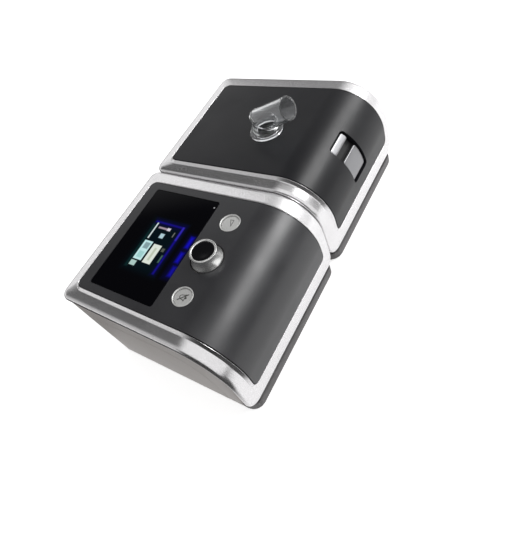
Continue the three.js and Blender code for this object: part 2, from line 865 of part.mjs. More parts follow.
function addBlower() {
  const at = (geometry) => geometry.translate(blower.x, blower.y, 0);
  const ring = { inner: blower.start - mountRing.inside, outer: blower.start + mountRing.outside };
  add(mainUnit, 'blower_mount', at(turned([
    [ring.inner, floorTop + fit],
    [ring.outer, floorTop + fit],
    [ring.outer, blower.bottom - fit],
    [ring.inner, blower.bottom - fit],
  ])), 'rubber');
  const chamberFloor = blower.bottom + blower.shell;
  const chamberRoof = blower.top - blower.shell;
  add(mainUnit, 'blower_lower_housing', cut(
    alongZ(volutePlan(blower.shell, blowerEnd), blower.bottom, blower.joint),
    alongZ(volutePlan(0, blowerEnd + overrun), chamberFloor, blower.joint + overrun)), 'matteBlack');
  const collar = at(upright(blower.eye + blower.shell, chamberRoof, blower.eyeTop));
  add(mainUnit, 'blower_upper_housing', cut(
    join(alongZ(volutePlan(blower.shell, blowerEnd), blower.joint + fit, blower.top), collar),
    alongZ(volutePlan(0, blowerEnd + overrun), blower.joint - overrun, chamberRoof),
    at(upright(blower.eye, chamberRoof - overrun, blower.eyeTop + overrun))), 'matteBlack');
  add(mainUnit, 'impeller', at(bladedWheel()), 'white');
  add(mainUnit, 'motor_rotor', at(turned([
    [0, chamberFloor + fit],
    [motor.drum, chamberFloor + fit],
    [motor.drum, motor.drumTop],
    [motor.shaft, motor.drumTop],
    [motor.shaft, motor.shaftTop],
    [0, motor.shaftTop],
  ], 0, 0, mediumSides)), 'steel');
  add(mainUnit, 'motor_stator', at(turned([
    [motor.drum + runFit, chamberFloor + fit],
    [motor.coil, chamberFloor + fit],
    [motor.coil, motor.drumTop],
    [motor.drum + runFit, motor.drumTop],
  ], 0, 0, mediumSides)), 'steel');

  // The duct from the blower rises to the port in the right wall, where a rubber ring seals it
  const start = blowerEnd + fit;
  const seal = {
    inner: portSpigot + fit,
    start: mainWidth - 2 * caseInset - 2 * wall,
    end: mainWidth - unitGap / 2 - fit,
  };
  const end = seal.start - fit;
  const level = (chamberFloor + chamberRoof) / 2;
  const path = new THREE.CubicBezierCurve3(
    new THREE.Vector3(start, portY, level),
    new THREE.Vector3(start + duct.lead, portY, level),
    new THREE.Vector3(end - duct.lead, portY, portZ),
    new THREE.Vector3(end, portY, portZ));
  const pipe = (radius) => {
    const shape = new THREE.Shape().absarc(0, 0, radius, 0, 2 * Math.PI);
    return new THREE.ExtrudeGeometry(shape, {
      steps: ductSteps,
      bevelEnabled: false,
      extrudePath: path,
      curveSegments: mediumSides / 2,
    });
  };
  const ductBore = duct.outer - blower.shell;
  const flangePlate = block(start, start + duct.flange,
    blower.y + blower.start - duct.flange, blower.y + blower.start + blower.growth + blower.shell,
    blower.bottom, blower.top);
  const mouth = cylinderX(ductBore, start - overrun, start + duct.flange, portY, level, mediumSides);
  const exit = cylinderX(ductBore, end - duct.flange, end + overrun, portY, portZ, mediumSides);
  add(mainUnit, 'outlet_duct', cut(join(pipe(duct.outer), flangePlate), pipe(ductBore), mouth, exit),
    'matteBlack');
  const sealRing = turned([
    [seal.inner, 0],
    [sealOuter, 0],
    [sealOuter, seal.end - seal.start],
    [seal.inner, seal.end - seal.start],
  ], 0, 0, mediumSides).rotateY(Math.PI / 2);
  add(mainUnit, 'dock_seal', sealRing.translate(seal.start, portY, portZ), 'rubber');
}

// The back of the main unit: the air intake and its filter, the power inlet and the card slot
const inletSide = 31.5;
const cardSide = 59.5;
const inlet = {
  x: mainWidth - inletSide,
  z: 20,
  half: 7,
  depth: 13.85,
  barrel: 5.6,
  bore: 3.2,
  pin: 1,
  proud: 0.3,
};
const card = {
  x: mainWidth - cardSide,
  z: 10.3,
  width: 24,
  length: 32,
  thickness: 2.1,
  proud: 1,
};
const reader = { half: 15, depth: 33.85, top: 16, gap: 15 };
const intakeSpan = { side: 22, below: 27, above: 11 };
const intake = {
  x0: intakeSpan.side,
  x1: card.x - reader.half - reader.gap,
  z0: portZ - intakeSpan.below,
  z1: portZ + intakeSpan.above,
  shell: 2,
  seatDepth: 9.85,
  leg: 6,
  exit: 12,
};
const grilleBorder = 4;
const grille = {
  x0: intake.x0 + grilleBorder,
  x1: intake.x1 - grilleBorder,
  z0: intake.z0 + grilleBorder,
  z1: intake.z1 - grilleBorder,
};
const grillePitch = 5.2;
const grilleSlot = 3;
const boardPost = { x: 10.4, wall: 1.8, setback: 10, top: 10 };
const boardSlot = boardThickness + 2 * fit;
const boardSpan = { fromFront: 35.5, fromBack: 50.5, drop: 39.5 };
const mainBoard = {
  y0: frontY + boardSpan.fromFront,
  y1: backY - boardSpan.fromBack,
  top: rimHeight - boardSpan.drop,
};

function addBack() {
  const seatY = innerBackY - intake.seatDepth;
  const legTop = intake.z0 + intake.shell;
  const leg = (x0) => block(x0, x0 + intake.leg, intakeFrontY, innerBackY, floorTop + fit, legTop);
  const exitX = (intake.x0 + intake.x1) / 2;
  const exitZ = (intake.z0 + intake.z1) / 2;
  const box = cut(
    join(
      block(intake.x0, intake.x1, intakeFrontY, innerBackY, intake.z0, intake.z1),
      leg(intake.x0),
      leg(intake.x1 - intake.leg)),
    block(grille.x0, grille.x1, seatY, innerBackY + overrun, grille.z0, grille.z1),
    block(intake.x0 + intake.leg, intake.x1 - intake.leg, intakeFrontY + intake.shell, seatY + overrun,
      grille.z0 + intake.shell, grille.z1 - intake.shell),
    cylinderY(intake.exit, intakeFrontY - overrun, intakeFrontY + overrun, exitX, exitZ));
  add(mainUnit, 'intake_box', box, 'dark');
  const inGrille = (y0, y1) => (
    block(grille.x0 + fit, grille.x1 - fit, y0, y1, grille.z0 + fit, grille.z1 - fit));
  add(mainUnit, 'air_filter', inGrille(seatY + fit, innerBackY - fit), 'filter');
  const coverFront = innerBackY + 2 * fit;
  const slots = [];
  const spaces = Math.round((grille.x1 - grille.x0) / grillePitch);
  const border = 2 * wall;
  for (let number = 1; number < spaces; number += 1) {
    const x = grille.x0 + (grille.x1 - grille.x0) * (number / spaces);
    slots.push(block(x - grilleSlot / 2, x + grilleSlot / 2, coverFront - overrun, backY + overrun,
      grille.z0 + border, grille.z1 - border));
  }
  add(mainUnit, 'filter_cover', cut(inGrille(coverFront, backWallAt(grille.z1)), ...slots), 'dark');

  // The power inlet: a block on the base with a round socket through the wall, and a pin in it
  const socketEnd = backWallAt(inlet.z) + inlet.proud;
  const inletFront = innerBackY - inlet.depth;
  const inletBlock = block(inlet.x - inlet.half, inlet.x + inlet.half, inletFront, innerBackY,
    floorTop + fit, inlet.z + inlet.half);
  const inletRound = (radius, y0, y1) => cylinderY(radius, y0, y1, inlet.x, inlet.z);
  add(mainUnit, 'power_inlet', join(
    cut(
      join(inletBlock, inletRound(inlet.barrel, innerBackY - overrun, socketEnd)),
      inletRound(inlet.bore, inletFront + wall, socketEnd + overrun)),
    inletRound(inlet.pin, inletFront + wall / 2, socketEnd - inlet.pin)), 'matteBlack');

  const slotHalf = card.width / 2 + fit;
  const cardEnd = backWallAt(card.z) + card.proud;
  const cardStart = cardEnd - card.length;
  add(mainUnit, 'card_reader', cut(
    block(card.x - reader.half, card.x + reader.half, innerBackY - reader.depth, innerBackY,
      floorTop + fit, reader.top),
    block(card.x - slotHalf, card.x + slotHalf, cardStart - fit, innerBackY + overrun,
      card.z - card.thickness / 2 - fit, card.z + card.thickness / 2 + fit)), 'steel');
  add(mainUnit, 'memory_card', block(card.x - card.width / 2, card.x + card.width / 2,
    cardStart, cardEnd, card.z - card.thickness / 2, card.z + card.thickness / 2), 'black');

  const boardX = boardPost.x + boardPost.wall + fit;
  add(mainUnit, 'main_board', block(boardX, boardX + boardThickness, mainBoard.y0, mainBoard.y1,
    floorTop + fit, mainBoard.top), 'board');
}

// The plug that carries power and signals from the main unit to the heater
const plug = { y: 0, half: 11, reach: 9 };
const heaterBoardZ = floorTop + fit;

function plugSlot(x0, x1) {
  return block(x0, x1, plug.y - plug.half - runFit, plug.y + plug.half + runFit,
    heaterBoardZ - runFit, heaterBoardZ + boardThickness + runFit);
}

function addMainCase() {
  const shell = mainShell();
  const low = crownUnder - overrun;
  const high = crownTop + overrun;
  const openings = [
    wrap(stack([[screenOutline(0), low], [screenOutline(0), high]])),
    wrap(upright(encoderHole, low, high, controlMid, -controlLine)),
    ...buttonPlaces.map(([, x]) => (
      wrap(upright(stemRadius + runFit, low, high, x, -controlLine, mediumSides)))),
  ];
  const behind = innerBackY - overrun;
  const through = backY + overrun;
  const slotHalf = card.width / 2 + runFit;
  const slotHigh = card.thickness / 2 + runFit;
  const lowerOpenings = [
    cylinderX(sealOuter + fit, mainWidth - 4 * wall, mainWidth + overrun, portY, portZ),
    block(grille.x0, grille.x1, behind, through, grille.z0, grille.z1),
    cylinderY(inlet.barrel + fit, behind, through, inlet.x, inlet.z),
    block(card.x - slotHalf, card.x + slotHalf, behind, through, card.z - slotHigh, card.z + slotHigh),
    plugSlot(mainWidth - 4 * wall, mainWidth + overrun),
  ];
  add(mainUnit, 'main_upper_case', cut(shell, lowerRegion(fit), ...openings), 'grey');
  add(mainUnit, 'main_lower_case', cut(common(shell, lowerRegion(0)), ...lowerOpenings), 'grey');
  const posts = [boardPost.x, boardPost.x + boardPost.wall + boardSlot].map((x) => (
    block(x, x + boardPost.wall, mainBoard.y0 + boardPost.setback, mainBoard.y1,
      groundClearance, boardPost.top)));
  add(mainUnit, 'main_base', join(basePan(mainWidth), ...posts), 'dark');
}

// The humidifier: a tub with a deck, a heated plate, a water chamber and a hinged lid
const deck = { z: 16, thickness: wall, hole: 46 };
const heater = { radius: 44, rim: 45, step: 3, proud: 0.5 };
const heaterBoard = { side: 46.3, half: 40 };
const heaterPost = { radius: 4, spread: 34 };
const hingeBehind = 1.7;
const hingeDrop = 11;
const hingeWeb = 6;
const hinge = {
  y: backY + hingeBehind,
  z: rimHeight - hingeDrop,
  barrel: 2.8,
  pin: 1.2,
  knuckle: 7,
  lug: 5.6,
  across: 36,
};
const hingePlaces = [['left', hinge.across], ['right', humidifierWidth - hinge.across]];
const hingeRound = (radius, x0, x1) => cylinderX(radius, x0, x1, hinge.y, hinge.z, smallSides);
const webY = hinge.y - hinge.barrel + runFit;

function humidifierCase() {
  const inner = {
    x0: caseInset + wall,
    x1: humidifierWidth - caseInset - wall,
    y0: frontY - caseTop + wall,
    y1: backY - caseInset - wall,
    front: caseCorner - wall,
    back: caseCorner - wall,
  };
  const hollow = (low, high) => leaning(stack([[inner, low], [inner, high]]), humidifierWidth);
  const lugs = [];
  for (const [, x] of hingePlaces) {
    for (const x0 of [x - hinge.knuckle - runFit - hinge.lug, x + hinge.knuckle + runFit]) {
      lugs.push(hingeRound(hinge.barrel, x0, x0 + hinge.lug));
      lugs.push(block(x0, x0 + hinge.lug, backWallAt(hinge.z) - wall / 2, hinge.y,
        hinge.z - hinge.barrel, hinge.z));
    }
  }
  const reach = hinge.knuckle + hinge.lug + overrun;
  const bores = hingePlaces.map(([, x]) => hingeRound(hinge.pin + fit, x - reach, x + reach));
  const half = hinge.knuckle + runFit;
  const clearance = hingePlaces.map(([, x]) => hingeRound(hinge.barrel + runFit, x - half, x + half));
  return cut(
    join(caseBody(humidifierWidth, 0, groundClearance), ...lugs),
    hollow(deck.z + deck.thickness, rimHeight + overrun),
    hollow(-overrun, deck.z),
    upright(deck.hole, deck.z - overrun, deck.z + 2 * overrun, humidifierWidth / 2, 0),
    cylinderX(portSpigot + fit, -overrun, 4 * wall, portY, portZ),
    plugSlot(-overrun, 4 * wall),
    block(-overrun, humidifierWidth + overrun, frontY - overrun, baseStepY, -overrun, frameFoot + fit),
    ...bores,
    ...clearance);
}

function addHumidifierBody() {
  add(humidifier, 'humidifier_case', humidifierCase(), 'grey');
  add(humidifier, 'humidifier_base', basePan(humidifierWidth), 'dark');
  addFeet(humidifier, 'humidifier', humidifierWidth);
  const middle = humidifierWidth / 2;
  const plateTop = deck.z + deck.thickness + heater.proud;
  add(humidifier, 'heater_plate', turned([
    [0, deck.z - heater.step],
    [heater.rim + wall, deck.z - heater.step],
    [heater.rim + wall, deck.z - fit],
    [heater.radius, deck.z - fit],
    [heater.radius, plateTop],
    [0, plateTop],
  ], middle, 0), 'steel');
  const boardEnd = humidifierWidth - heaterBoard.side;
  const standoffs = [-heaterPost.spread, heaterPost.spread].map((y) => (
    upright(heaterPost.radius, heaterBoardZ, deck.z - heater.step - fit, middle, y, smallSides)));
  const boardPlate = (x0, x1, half) => (
    block(x0, x1, plug.y - half, plug.y + half, heaterBoardZ, heaterBoardZ + boardThickness));
  add(humidifier, 'humidifier_board', join(
    boardPlate(floorInset + fit, boardEnd, heaterBoard.half),
    boardPlate(-unitGap - plug.reach + wall, floorInset + overrun, plug.half),
    ...standoffs), 'board');
}

// The water chamber: a clear tub with a metal plate below, a gasket and a clear cover
const chamber = { side: 17.5, end: 25.5, corner: 14, wall: 2, drop: 47.5, window: 42, taper: 1.6 };
const chamberRim = rimHeight - chamber.drop;
const chamberPlate = { radius: 44.5, thickness: 1.5 };
const gasket = { thickness: 1.8, width: 3.4 };
const chamberTop = { skirt: 8.4, roof: 2.2, round: 3 };
const chimney = { outer: 18, bore: 13, top: -17.3, foot: -34 };

function chamberOutline(by) {
  const outline = {
    x0: chamber.side,
    x1: humidifierWidth - chamber.side,
    y0: frontY + chamber.end,
    y1: backY - chamber.end,
    front: chamber.corner,
    back: chamber.corner,
  };
  return inset(outline, by);
}

function addChamber() {
  const middle = humidifierWidth / 2;
  const bottom = deck.z + deck.thickness + heater.proud + fit;
  const plateTop = bottom + chamberPlate.thickness;
  const floorUnder = plateTop + fit;
  const floorSkin = floorUnder + chamber.wall;
  add(humidifier, 'chamber_plate', upright(chamberPlate.radius, bottom, plateTop, middle, 0), 'steel');
  add(humidifier, 'chamber_tub', cut(
    stack([[chamberOutline(chamber.taper), bottom], [chamberOutline(0), chamberRim]]),
    stack([
      [chamberOutline(chamber.taper + chamber.wall), floorSkin],
      [chamberOutline(chamber.wall), chamberRim],
      [chamberOutline(chamber.wall), chamberRim + overrun],
    ]),
    upright(chamberPlate.radius + fit, bottom - overrun, floorUnder, middle, 0),
    upright(chamber.window, bottom - overrun, floorSkin + overrun, middle, 0),
    cylinderX(portBore, chamber.side - overrun, chamber.side + 2 * overrun, portY, portZ)), 'clear');
  const gasketUnder = chamberRim + fit;
  const gasketTop = gasketUnder + gasket.thickness;
  add(humidifier, 'chamber_gasket', cut(
    stack([[chamberOutline(0), gasketUnder], [chamberOutline(0), gasketTop]]),
    stack([
      [chamberOutline(gasket.width), gasketUnder - overrun],
      [chamberOutline(gasket.width), gasketTop + overrun],
    ])), 'rubber');
  const coverUnder = gasketTop + fit;
  const coverTop = coverUnder + chamberTop.skirt;
  const shoulder = coverTop - chamberTop.round;
  const outer = stack([
    [chamberOutline(0), coverUnder],
    [chamberOutline(0), shoulder],
    [chamberOutline(chamberTop.round), coverTop],
  ]);
  const place = [elbowAcross, -elbowAlong];
  const chimneyTube = wrap(upright(chimney.outer, chimney.foot, chimney.top, ...place));
  const aboveShoulder = block(0, humidifierWidth, frontY, backY, shoulder, rimHeight);
  add(humidifier, 'chamber_cover', cut(
    join(outer, common(chimneyTube, aboveShoulder)),
    stack([
      [chamberOutline(chamberTop.roof), coverUnder - overrun],
      [chamberOutline(chamberTop.roof), shoulder],
      [chamberOutline(chamberTop.round + chamberTop.roof), coverTop - chamberTop.roof],
    ]),
    wrap(upright(chimney.bore, chimney.foot, chimney.top + overrun, ...place))), 'clear');

  // The tube that carries the air in, with a flange that rests inside the case wall
  const flange = { radius: 17, thickness: 1.8 };
  const tubeStart = -unitGap - 2 * wall;
  const tubeEnd = chamber.side - 2 * fit;
  const atPort = (radius, x0, x1) => cylinderX(radius, x0, x1, portY, portZ, mediumSides);
  add(humidifier, 'inlet_duct', cut(
    join(
      atPort(portSpigot, tubeStart, tubeEnd),
      atPort(flange.radius, floorInset, floorInset + flange.thickness)),
    atPort(portBore, tubeStart - overrun, tubeEnd + overrun)), 'dark');
}

// The lid: its own silver frame, dark panel and liner, which open together
const linerTop = crownTop;
const liner = { thickness: 2.4, inset: 0.6 };
const elbow = {
  collar: 17.4,
  collarUnder: panelProud + fit,
  collarTop: 5,
  leg: 14.2,
  legTop: 13.2,
  spigot: 12,
  spigotEnd: -14.4,
  centre: 17.8,
  tube: 12.2,
  mouth: 11.8,
  length: 34.5,
  bore: 10.4,
  tilt: THREE.MathUtils.degToRad(25.8),
};
const hub = { outer: 15.2, end: -12 };

// The latch, with its places measured back along the skin from the lower end of the nose
const latch = { half: 13.9, corner: 2.5, length: 43.7, bar: 8.7, slot: 8.9, gap: 1.4 };
const latchBack = noseEnd - latch.length;
const slotBack = latchBack + latch.bar;
const slotFront = slotBack + latch.slot;
const latchPivot = { setback: 4.3, lift: -0.9, pin: 1.1, reach: 2 };

function latchOutline(by, back, front) {
  return {
    x0: lidMid - latch.half + by,
    x1: lidMid + latch.half - by,
    y0: -front + by,
    y1: -back - by,
    front: latch.corner,
    back: latch.corner,
  };
}

function latchPin(radius, reach) {
  const [y, z] = skin(noseEnd - latchPivot.setback, latchPivot.lift);
  const half = latch.half + reach;
  return cylinderX(radius, lidMid - half, lidMid + half, y, z, smallSides);
}

function addLid() {
  const knuckles = [];
  for (const [, x] of hingePlaces) {
    knuckles.push(hingeRound(hinge.barrel, x - hinge.knuckle, x + hinge.knuckle));
    knuckles.push(block(x - hinge.knuckle, x + hinge.knuckle, webY, hinge.y,
      hinge.z, hinge.z + hingeWeb));
  }
  const past = hinge.knuckle + overrun;
  const pinHoles = hingePlaces.map(([, x]) => hingeRound(hinge.pin + fit, x - past, x + past));
  const lidFrame = join(frameRing(humidifierWidth, lidStrip), ...knuckles);
  add(humidifier, 'lid_frame', cut(lidFrame, ...pinHoles), 'silver');
  const pinHalf = hinge.knuckle + hinge.lug;
  for (const [side, x] of hingePlaces) {
    add(humidifier, `hinge_pin_${side}`, hingeRound(hinge.pin, x - pinHalf, x + pinHalf), 'steel');
  }

  const place = [elbowAcross, -elbowAlong];
  const through = panelProud + overrun;
  const opening = latchOutline(0, latchBack, noseEnd);
  add(humidifier, 'lid_panel', cut(
    wrap(panelPattern(humidifierWidth, lidStrip)),
    wrap(upright(elbow.spigot + runFit, -through, through, ...place)),
    wrap(stack([[opening, -through], [opening, through]])),
    latchPin(latchPivot.pin + fit, latchPivot.reach + fit)), 'panel');

  const linerUnder = linerTop - liner.thickness;
  add(humidifier, 'lid_liner', cut(
    join(
      wrap(crownPattern(humidifierWidth, liner.inset, linerUnder, linerTop)),
      wrap(upright(hub.outer, hub.end, linerTop, ...place))),
    wrap(upright(elbow.spigot + runFit, hub.end - overrun, linerTop + overrun, ...place))),
  'matteBlack');
  const seal = { inner: hub.outer + fit, outer: chimney.outer };
  add(humidifier, 'lid_seal', wrap(turned([
    [seal.inner, chimney.top + fit],
    [seal.outer, chimney.top + fit],
    [seal.outer, linerUnder - fit],
    [seal.inner, linerUnder - fit],
  ], ...place, mediumSides)), 'rubber');

  // The clear outlet elbow swivels in the hub, held by a ring under it
  const toward = (geometry) => geometry.rotateX(Math.PI / 2 - elbow.tilt).translate(0, 0, elbow.centre);
  const heel = (radius, sides) => (
    new THREE.SphereGeometry(radius, sides, sides / 2)
      .rotateX(Math.PI / 2)
      .translate(0, 0, elbow.centre));
  const outside = join(
    turned([
      [0, elbow.spigotEnd],
      [elbow.spigot, elbow.spigotEnd],
      [elbow.spigot, elbow.collarUnder],
      [elbow.collar, elbow.collarUnder],
      [elbow.collar, elbow.collarTop],
      [elbow.leg, elbow.collarTop],
      [elbow.legTop, elbow.centre],
      [0, elbow.centre],
    ]),
    heel(elbow.legTop, largeSides),
    toward(turned([[0, 0], [elbow.tube, 0], [elbow.mouth, elbow.length], [0, elbow.length]])));
  const bores = [
    upright(elbow.bore, elbow.spigotEnd - overrun, elbow.centre, 0, 0, mediumSides),
    heel(elbow.bore, mediumSides),
    toward(upright(elbow.bore - fit, 0, elbow.length + overrun, 0, 0, mediumSides)),
  ];
  const toPlace = (geometry) => wrap(geometry.translate(...place, 0));
  add(humidifier, 'outlet_elbow', toPlace(cut(outside, ...bores)), 'clear');
  const ring = {
    inner: elbow.spigot + fit,
    outer: hub.outer - fit,
    under: elbow.spigotEnd + fit,
    top: hub.end - fit,
  };
  add(humidifier, 'elbow_ring', toPlace(turned([
    [ring.inner, ring.under],
    [ring.outer, ring.under],
    [ring.outer, ring.top],
    [ring.inner, ring.top],
  ], 0, 0, mediumSides)), 'rubber');
}

function addLatch() {
  const trim = { under: -2.2, shoulder: 0.4, top: 2.4, round: 2 };
  const bar = latchOutline(runFit, latchBack, slotBack);
  add(humidifier, 'latch_trim', wrap(stack([
    [bar, trim.under],
    [bar, trim.shoulder],
    [inset(bar, trim.round / 2), (trim.shoulder + trim.top) / 2 + runFit],
    [inset(bar, trim.round), trim.top],
  ])), 'silver');
  const plate = { under: -0.9, shoulder: 1.5, top: 2.2, round: 0.7 };
  const lever = latchOutline(runFit, slotFront, noseEnd - latch.gap);
  add(humidifier, 'latch_lever', join(
    wrap(stack([
      [lever, plate.under],
      [lever, plate.shoulder],
      [inset(lever, plate.round), plate.top],
    ])),
    latchPin(latchPivot.pin, latchPivot.reach)), 'button');
}

add(mainUnit, 'main_frame', frameRing(mainWidth, mainStrip), 'silver');
addMainCase();
addFeet(mainUnit, 'main', mainWidth);
addControls();
addBlower();
addBack();
addHumidifierBody();
addChamber();
addLid();
addLatch();

export default parts;
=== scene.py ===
# %% [markdown]
# This is a bedside breathing-air machine: an air pump with a dial and a screen, and a heated
# humidifier docked to its right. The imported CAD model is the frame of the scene. Every piece that
# shows is either a CAD node with a procedural finish, or a finer piece made here with Blender's own
# tools. Such a piece stands where the node that it replaces stood, and rides on the same body, so
# the same joint moves it.

# %% Load the frame
import json
import math

import bpy
from mathutils import Matrix, Vector
from mathutils.kdtree import KDTree


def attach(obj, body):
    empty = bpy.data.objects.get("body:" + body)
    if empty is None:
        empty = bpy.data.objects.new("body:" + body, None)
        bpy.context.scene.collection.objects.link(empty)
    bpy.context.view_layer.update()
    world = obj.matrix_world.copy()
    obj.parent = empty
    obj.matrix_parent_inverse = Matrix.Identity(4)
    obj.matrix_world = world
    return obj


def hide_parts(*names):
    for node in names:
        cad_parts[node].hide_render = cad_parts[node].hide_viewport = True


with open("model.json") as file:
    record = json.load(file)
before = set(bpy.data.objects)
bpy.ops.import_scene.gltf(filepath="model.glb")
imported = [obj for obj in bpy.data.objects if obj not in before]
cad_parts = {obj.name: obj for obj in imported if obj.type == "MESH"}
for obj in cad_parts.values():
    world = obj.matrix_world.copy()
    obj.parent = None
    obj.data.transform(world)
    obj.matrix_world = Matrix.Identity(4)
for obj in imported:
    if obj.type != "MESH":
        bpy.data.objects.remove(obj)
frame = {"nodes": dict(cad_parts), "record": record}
nodes = frame["nodes"]
bodies = frame["record"]["behaviour"]["bodies"]
body_of_node = {node: body for body, members in bodies.items() for node in members}
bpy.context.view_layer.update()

# %% [markdown]
# The sizes are the real ones, in metres. Both units share one side view, called the skin here: a
# top that slopes to the front, a round nose and an upright front. A place on it is (x, s, lift): x
# across, s along the skin from the back edge, and lift outwards. Plain Y and Z would do as well,
# but in these three a curved machine is as easy to measure as a flat one.

# %% Sizes of the skin
mm = 0.001
slope = math.radians(4.7)
back_y = 97.25 * mm
front_y = -back_y
rim_height = 117.8 * mm
nose_radius = 50.5 * mm
frame_foot = 10 * mm
nose_y = front_y + nose_radius
nose_z = rim_height - (back_y - nose_y) * math.tan(slope) - nose_radius / math.cos(slope)
flat_length = (back_y - nose_y) / math.cos(slope) + nose_radius * math.tan(slope)
bend_length = nose_radius * (math.pi / 2 - slope)
nose_end = flat_length + bend_length
skin_length = nose_end + nose_z - frame_foot


def skin(s, lift):
    """The place in Y and Z of a point that lies s along the skin and stands lift off it."""
    if s <= flat_length:
        return (
            back_y - s * math.cos(slope) - lift * math.sin(slope),
            rim_height - s * math.sin(slope) + lift * math.cos(slope),
        )
    if s <= nose_end:
        turn = slope + (s - flat_length) / nose_radius
        reach = nose_radius + lift
        return nose_y - reach * math.sin(turn), nose_z + reach * math.cos(turn)
    return front_y - lift, nose_z - (s - nose_end)


print("skin length", round(skin_length, 4))

# %% [markdown]
# Next come the outlines that share this skin: each unit's own, and the one of the dark panel in it.
# An outline is (left, right, back, front, radius of the back corners, radius of the front corners).
# It could be a mesh from the start, but as numbers it can be grown or shrunk evenly, corners too.

# %% Outlines
pump = {"left": -170.5 * mm, "width": 176.6 * mm, "strip": (15.8 * mm, 19.6 * mm)}
humidifier = {"left": 7.3 * mm, "width": 163.2 * mm, "strip": (14.8 * mm, 21.4 * mm)}
unit_corners = (10 * mm, 14 * mm)
panel_corners = (7 * mm, 6 * mm)
sharpest_corner = 0.6 * mm
strip_back = 16 * mm
strip_front_share = 0.6447
panel_end = skin_length - (nose_z - frame_foot) * strip_front_share


def unit_outline(unit):
    return unit["left"], unit["left"] + unit["width"], 0.0, skin_length, *unit_corners


def panel_outline(unit):
    left_strip, right_strip = unit["strip"]
    left, right = unit["left"] + left_strip, unit["left"] + unit["width"] - right_strip
    return left, right, strip_back, panel_end, *panel_corners


def grown(outline, by):
    left, right, back, front, *corners = outline
    corners = [max(corner + by, sharpest_corner) for corner in corners]
    return left - by, right + by, back - by, front + by, *corners


print("pump", unit_outline(pump), "humidifier", unit_outline(humidifier))

# %% [markdown]
# The dial, the buttons, the latch and the elbow are placed from the panels' middles and from where
# the nose begins to bend, because on the real machine they line up with those.

# %% Places on the panels
def middle_of(unit):
    left, right = panel_outline(unit)[:2]
    return (left + right) / 2


control_setback = 15.8 * mm
button_spread_share = 0.2393
elbow_offset, elbow_setback = 5.5 * mm, 40.2 * mm

dial_x, lid_x = middle_of(pump), middle_of(humidifier)
control_s = flat_length - control_setback
button_spread = pump["width"] * button_spread_share
elbow_x, elbow_s = lid_x - elbow_offset, flat_length - elbow_setback
print("dial", round(dial_x, 4), "latch and lid middle", round(lid_x, 4))

# %% [markdown]
# A few habits of hand modelling, kept as helpers: clear the selection first, pick vertices by their
# place, and leave every object at the origin with its place in its mesh. The exporter needs that
# last one, because it puts every object at the origin before it bakes the materials.

# %% Selecting and settling
def only(obj):
    """Selects this object alone, in object mode."""
    if bpy.context.object and bpy.context.object.mode != "OBJECT":
        bpy.ops.object.mode_set(mode="OBJECT")
    bpy.ops.object.select_all(action="DESELECT")
    obj.select_set(True)
    bpy.context.view_layer.objects.active = obj


def settle(obj):
    """Puts the object's place and size into its mesh."""
    only(obj)
    bpy.ops.object.transform_apply(location=True, rotation=True, scale=True)
    return obj


def edit(obj):
    """Opens the piece in edit mode, for vertices, with nothing of it selected."""
    only(obj)
    bpy.ops.object.mode_set(mode="EDIT")
    bpy.ops.mesh.select_mode(type="VERT")
    bpy.ops.mesh.select_all(action="DESELECT")


def pick(obj, test):
    """In edit mode, selects the vertices that pass the test."""
    bpy.ops.mesh.select_all(action="DESELECT")
    bpy.ops.object.mode_set(mode="OBJECT")
    for vertex in obj.data.vertices:
        vertex.select = test(vertex)
    bpy.ops.object.mode_set(mode="EDIT")


def done(obj):
    bpy.ops.object.mode_set(mode="OBJECT")
    return obj


# %% [markdown]
# More helpers finish a mesh. One welds doubled vertices and turns the faces outwards. One shades
# soft edges smooth and keeps the sharp ones, with weighted normals, so that a large flat face stays
# flat next to a small rounding. One joins pieces into one mesh as they are, and one cuts pieces
# from each other, or fuses them, with an exact boolean.

# %% Finishing and combining
weld = 0.002 * mm
hair = 0.001 * mm
flat_face_weight = 90


def turn_outwards(weld_within=None):
    """In edit mode, welds vertices that are this close and turns every face outwards."""
    bpy.ops.mesh.select_all(action="SELECT")
    if weld_within:
        bpy.ops.mesh.remove_doubles(threshold=weld_within)
    bpy.ops.mesh.normals_make_consistent(inside=False)


def tidy(obj, angle=30, weighted=True):
    edit(obj)
    turn_outwards(weld)
    done(obj)
    bpy.ops.object.shade_smooth_by_angle(angle=math.radians(angle))
    if weighted:
        modifier = obj.modifiers.new("even", "WEIGHTED_NORMAL")
        modifier.keep_sharp = True
        modifier.weight = flat_face_weight
        bpy.ops.object.modifier_apply(modifier=modifier.name)
    return obj


def join(obj, *others):
    only(obj)
    for other in others:
        other.select_set(True)
    bpy.ops.object.join()
    return obj


def combine(obj, *others, how="DIFFERENCE"):
    for other in others:
        only(obj)
        modifier = obj.modifiers.new("combine", "BOOLEAN")
        modifier.operation = how
        modifier.solver = "EXACT"
        modifier.object = other
        bpy.ops.object.modifier_apply(modifier=modifier.name)
        bpy.data.objects.remove(other)
    return obj


def keep(obj, body, *stands_for):
    """Hangs the piece on its body and hides the CAD nodes that it stands for."""
    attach(obj, body)
    if stands_for:
        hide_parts(*stands_for)
    print(obj.name, "faces", len(obj.data.polygons))
    return obj


# %% [markdown]
# The frames, the panels and the latch are all round-cornered outlines that rise through a few
# levels. Each level starts as a plane whose corners are bevelled round. Only its edge loop is kept,
# and the loops are bridged one to the next. Closed on itself that makes a ring, and capped at both
# ends it makes a plate. Insets on a finished plate would be quicker, but they pinch the corners.

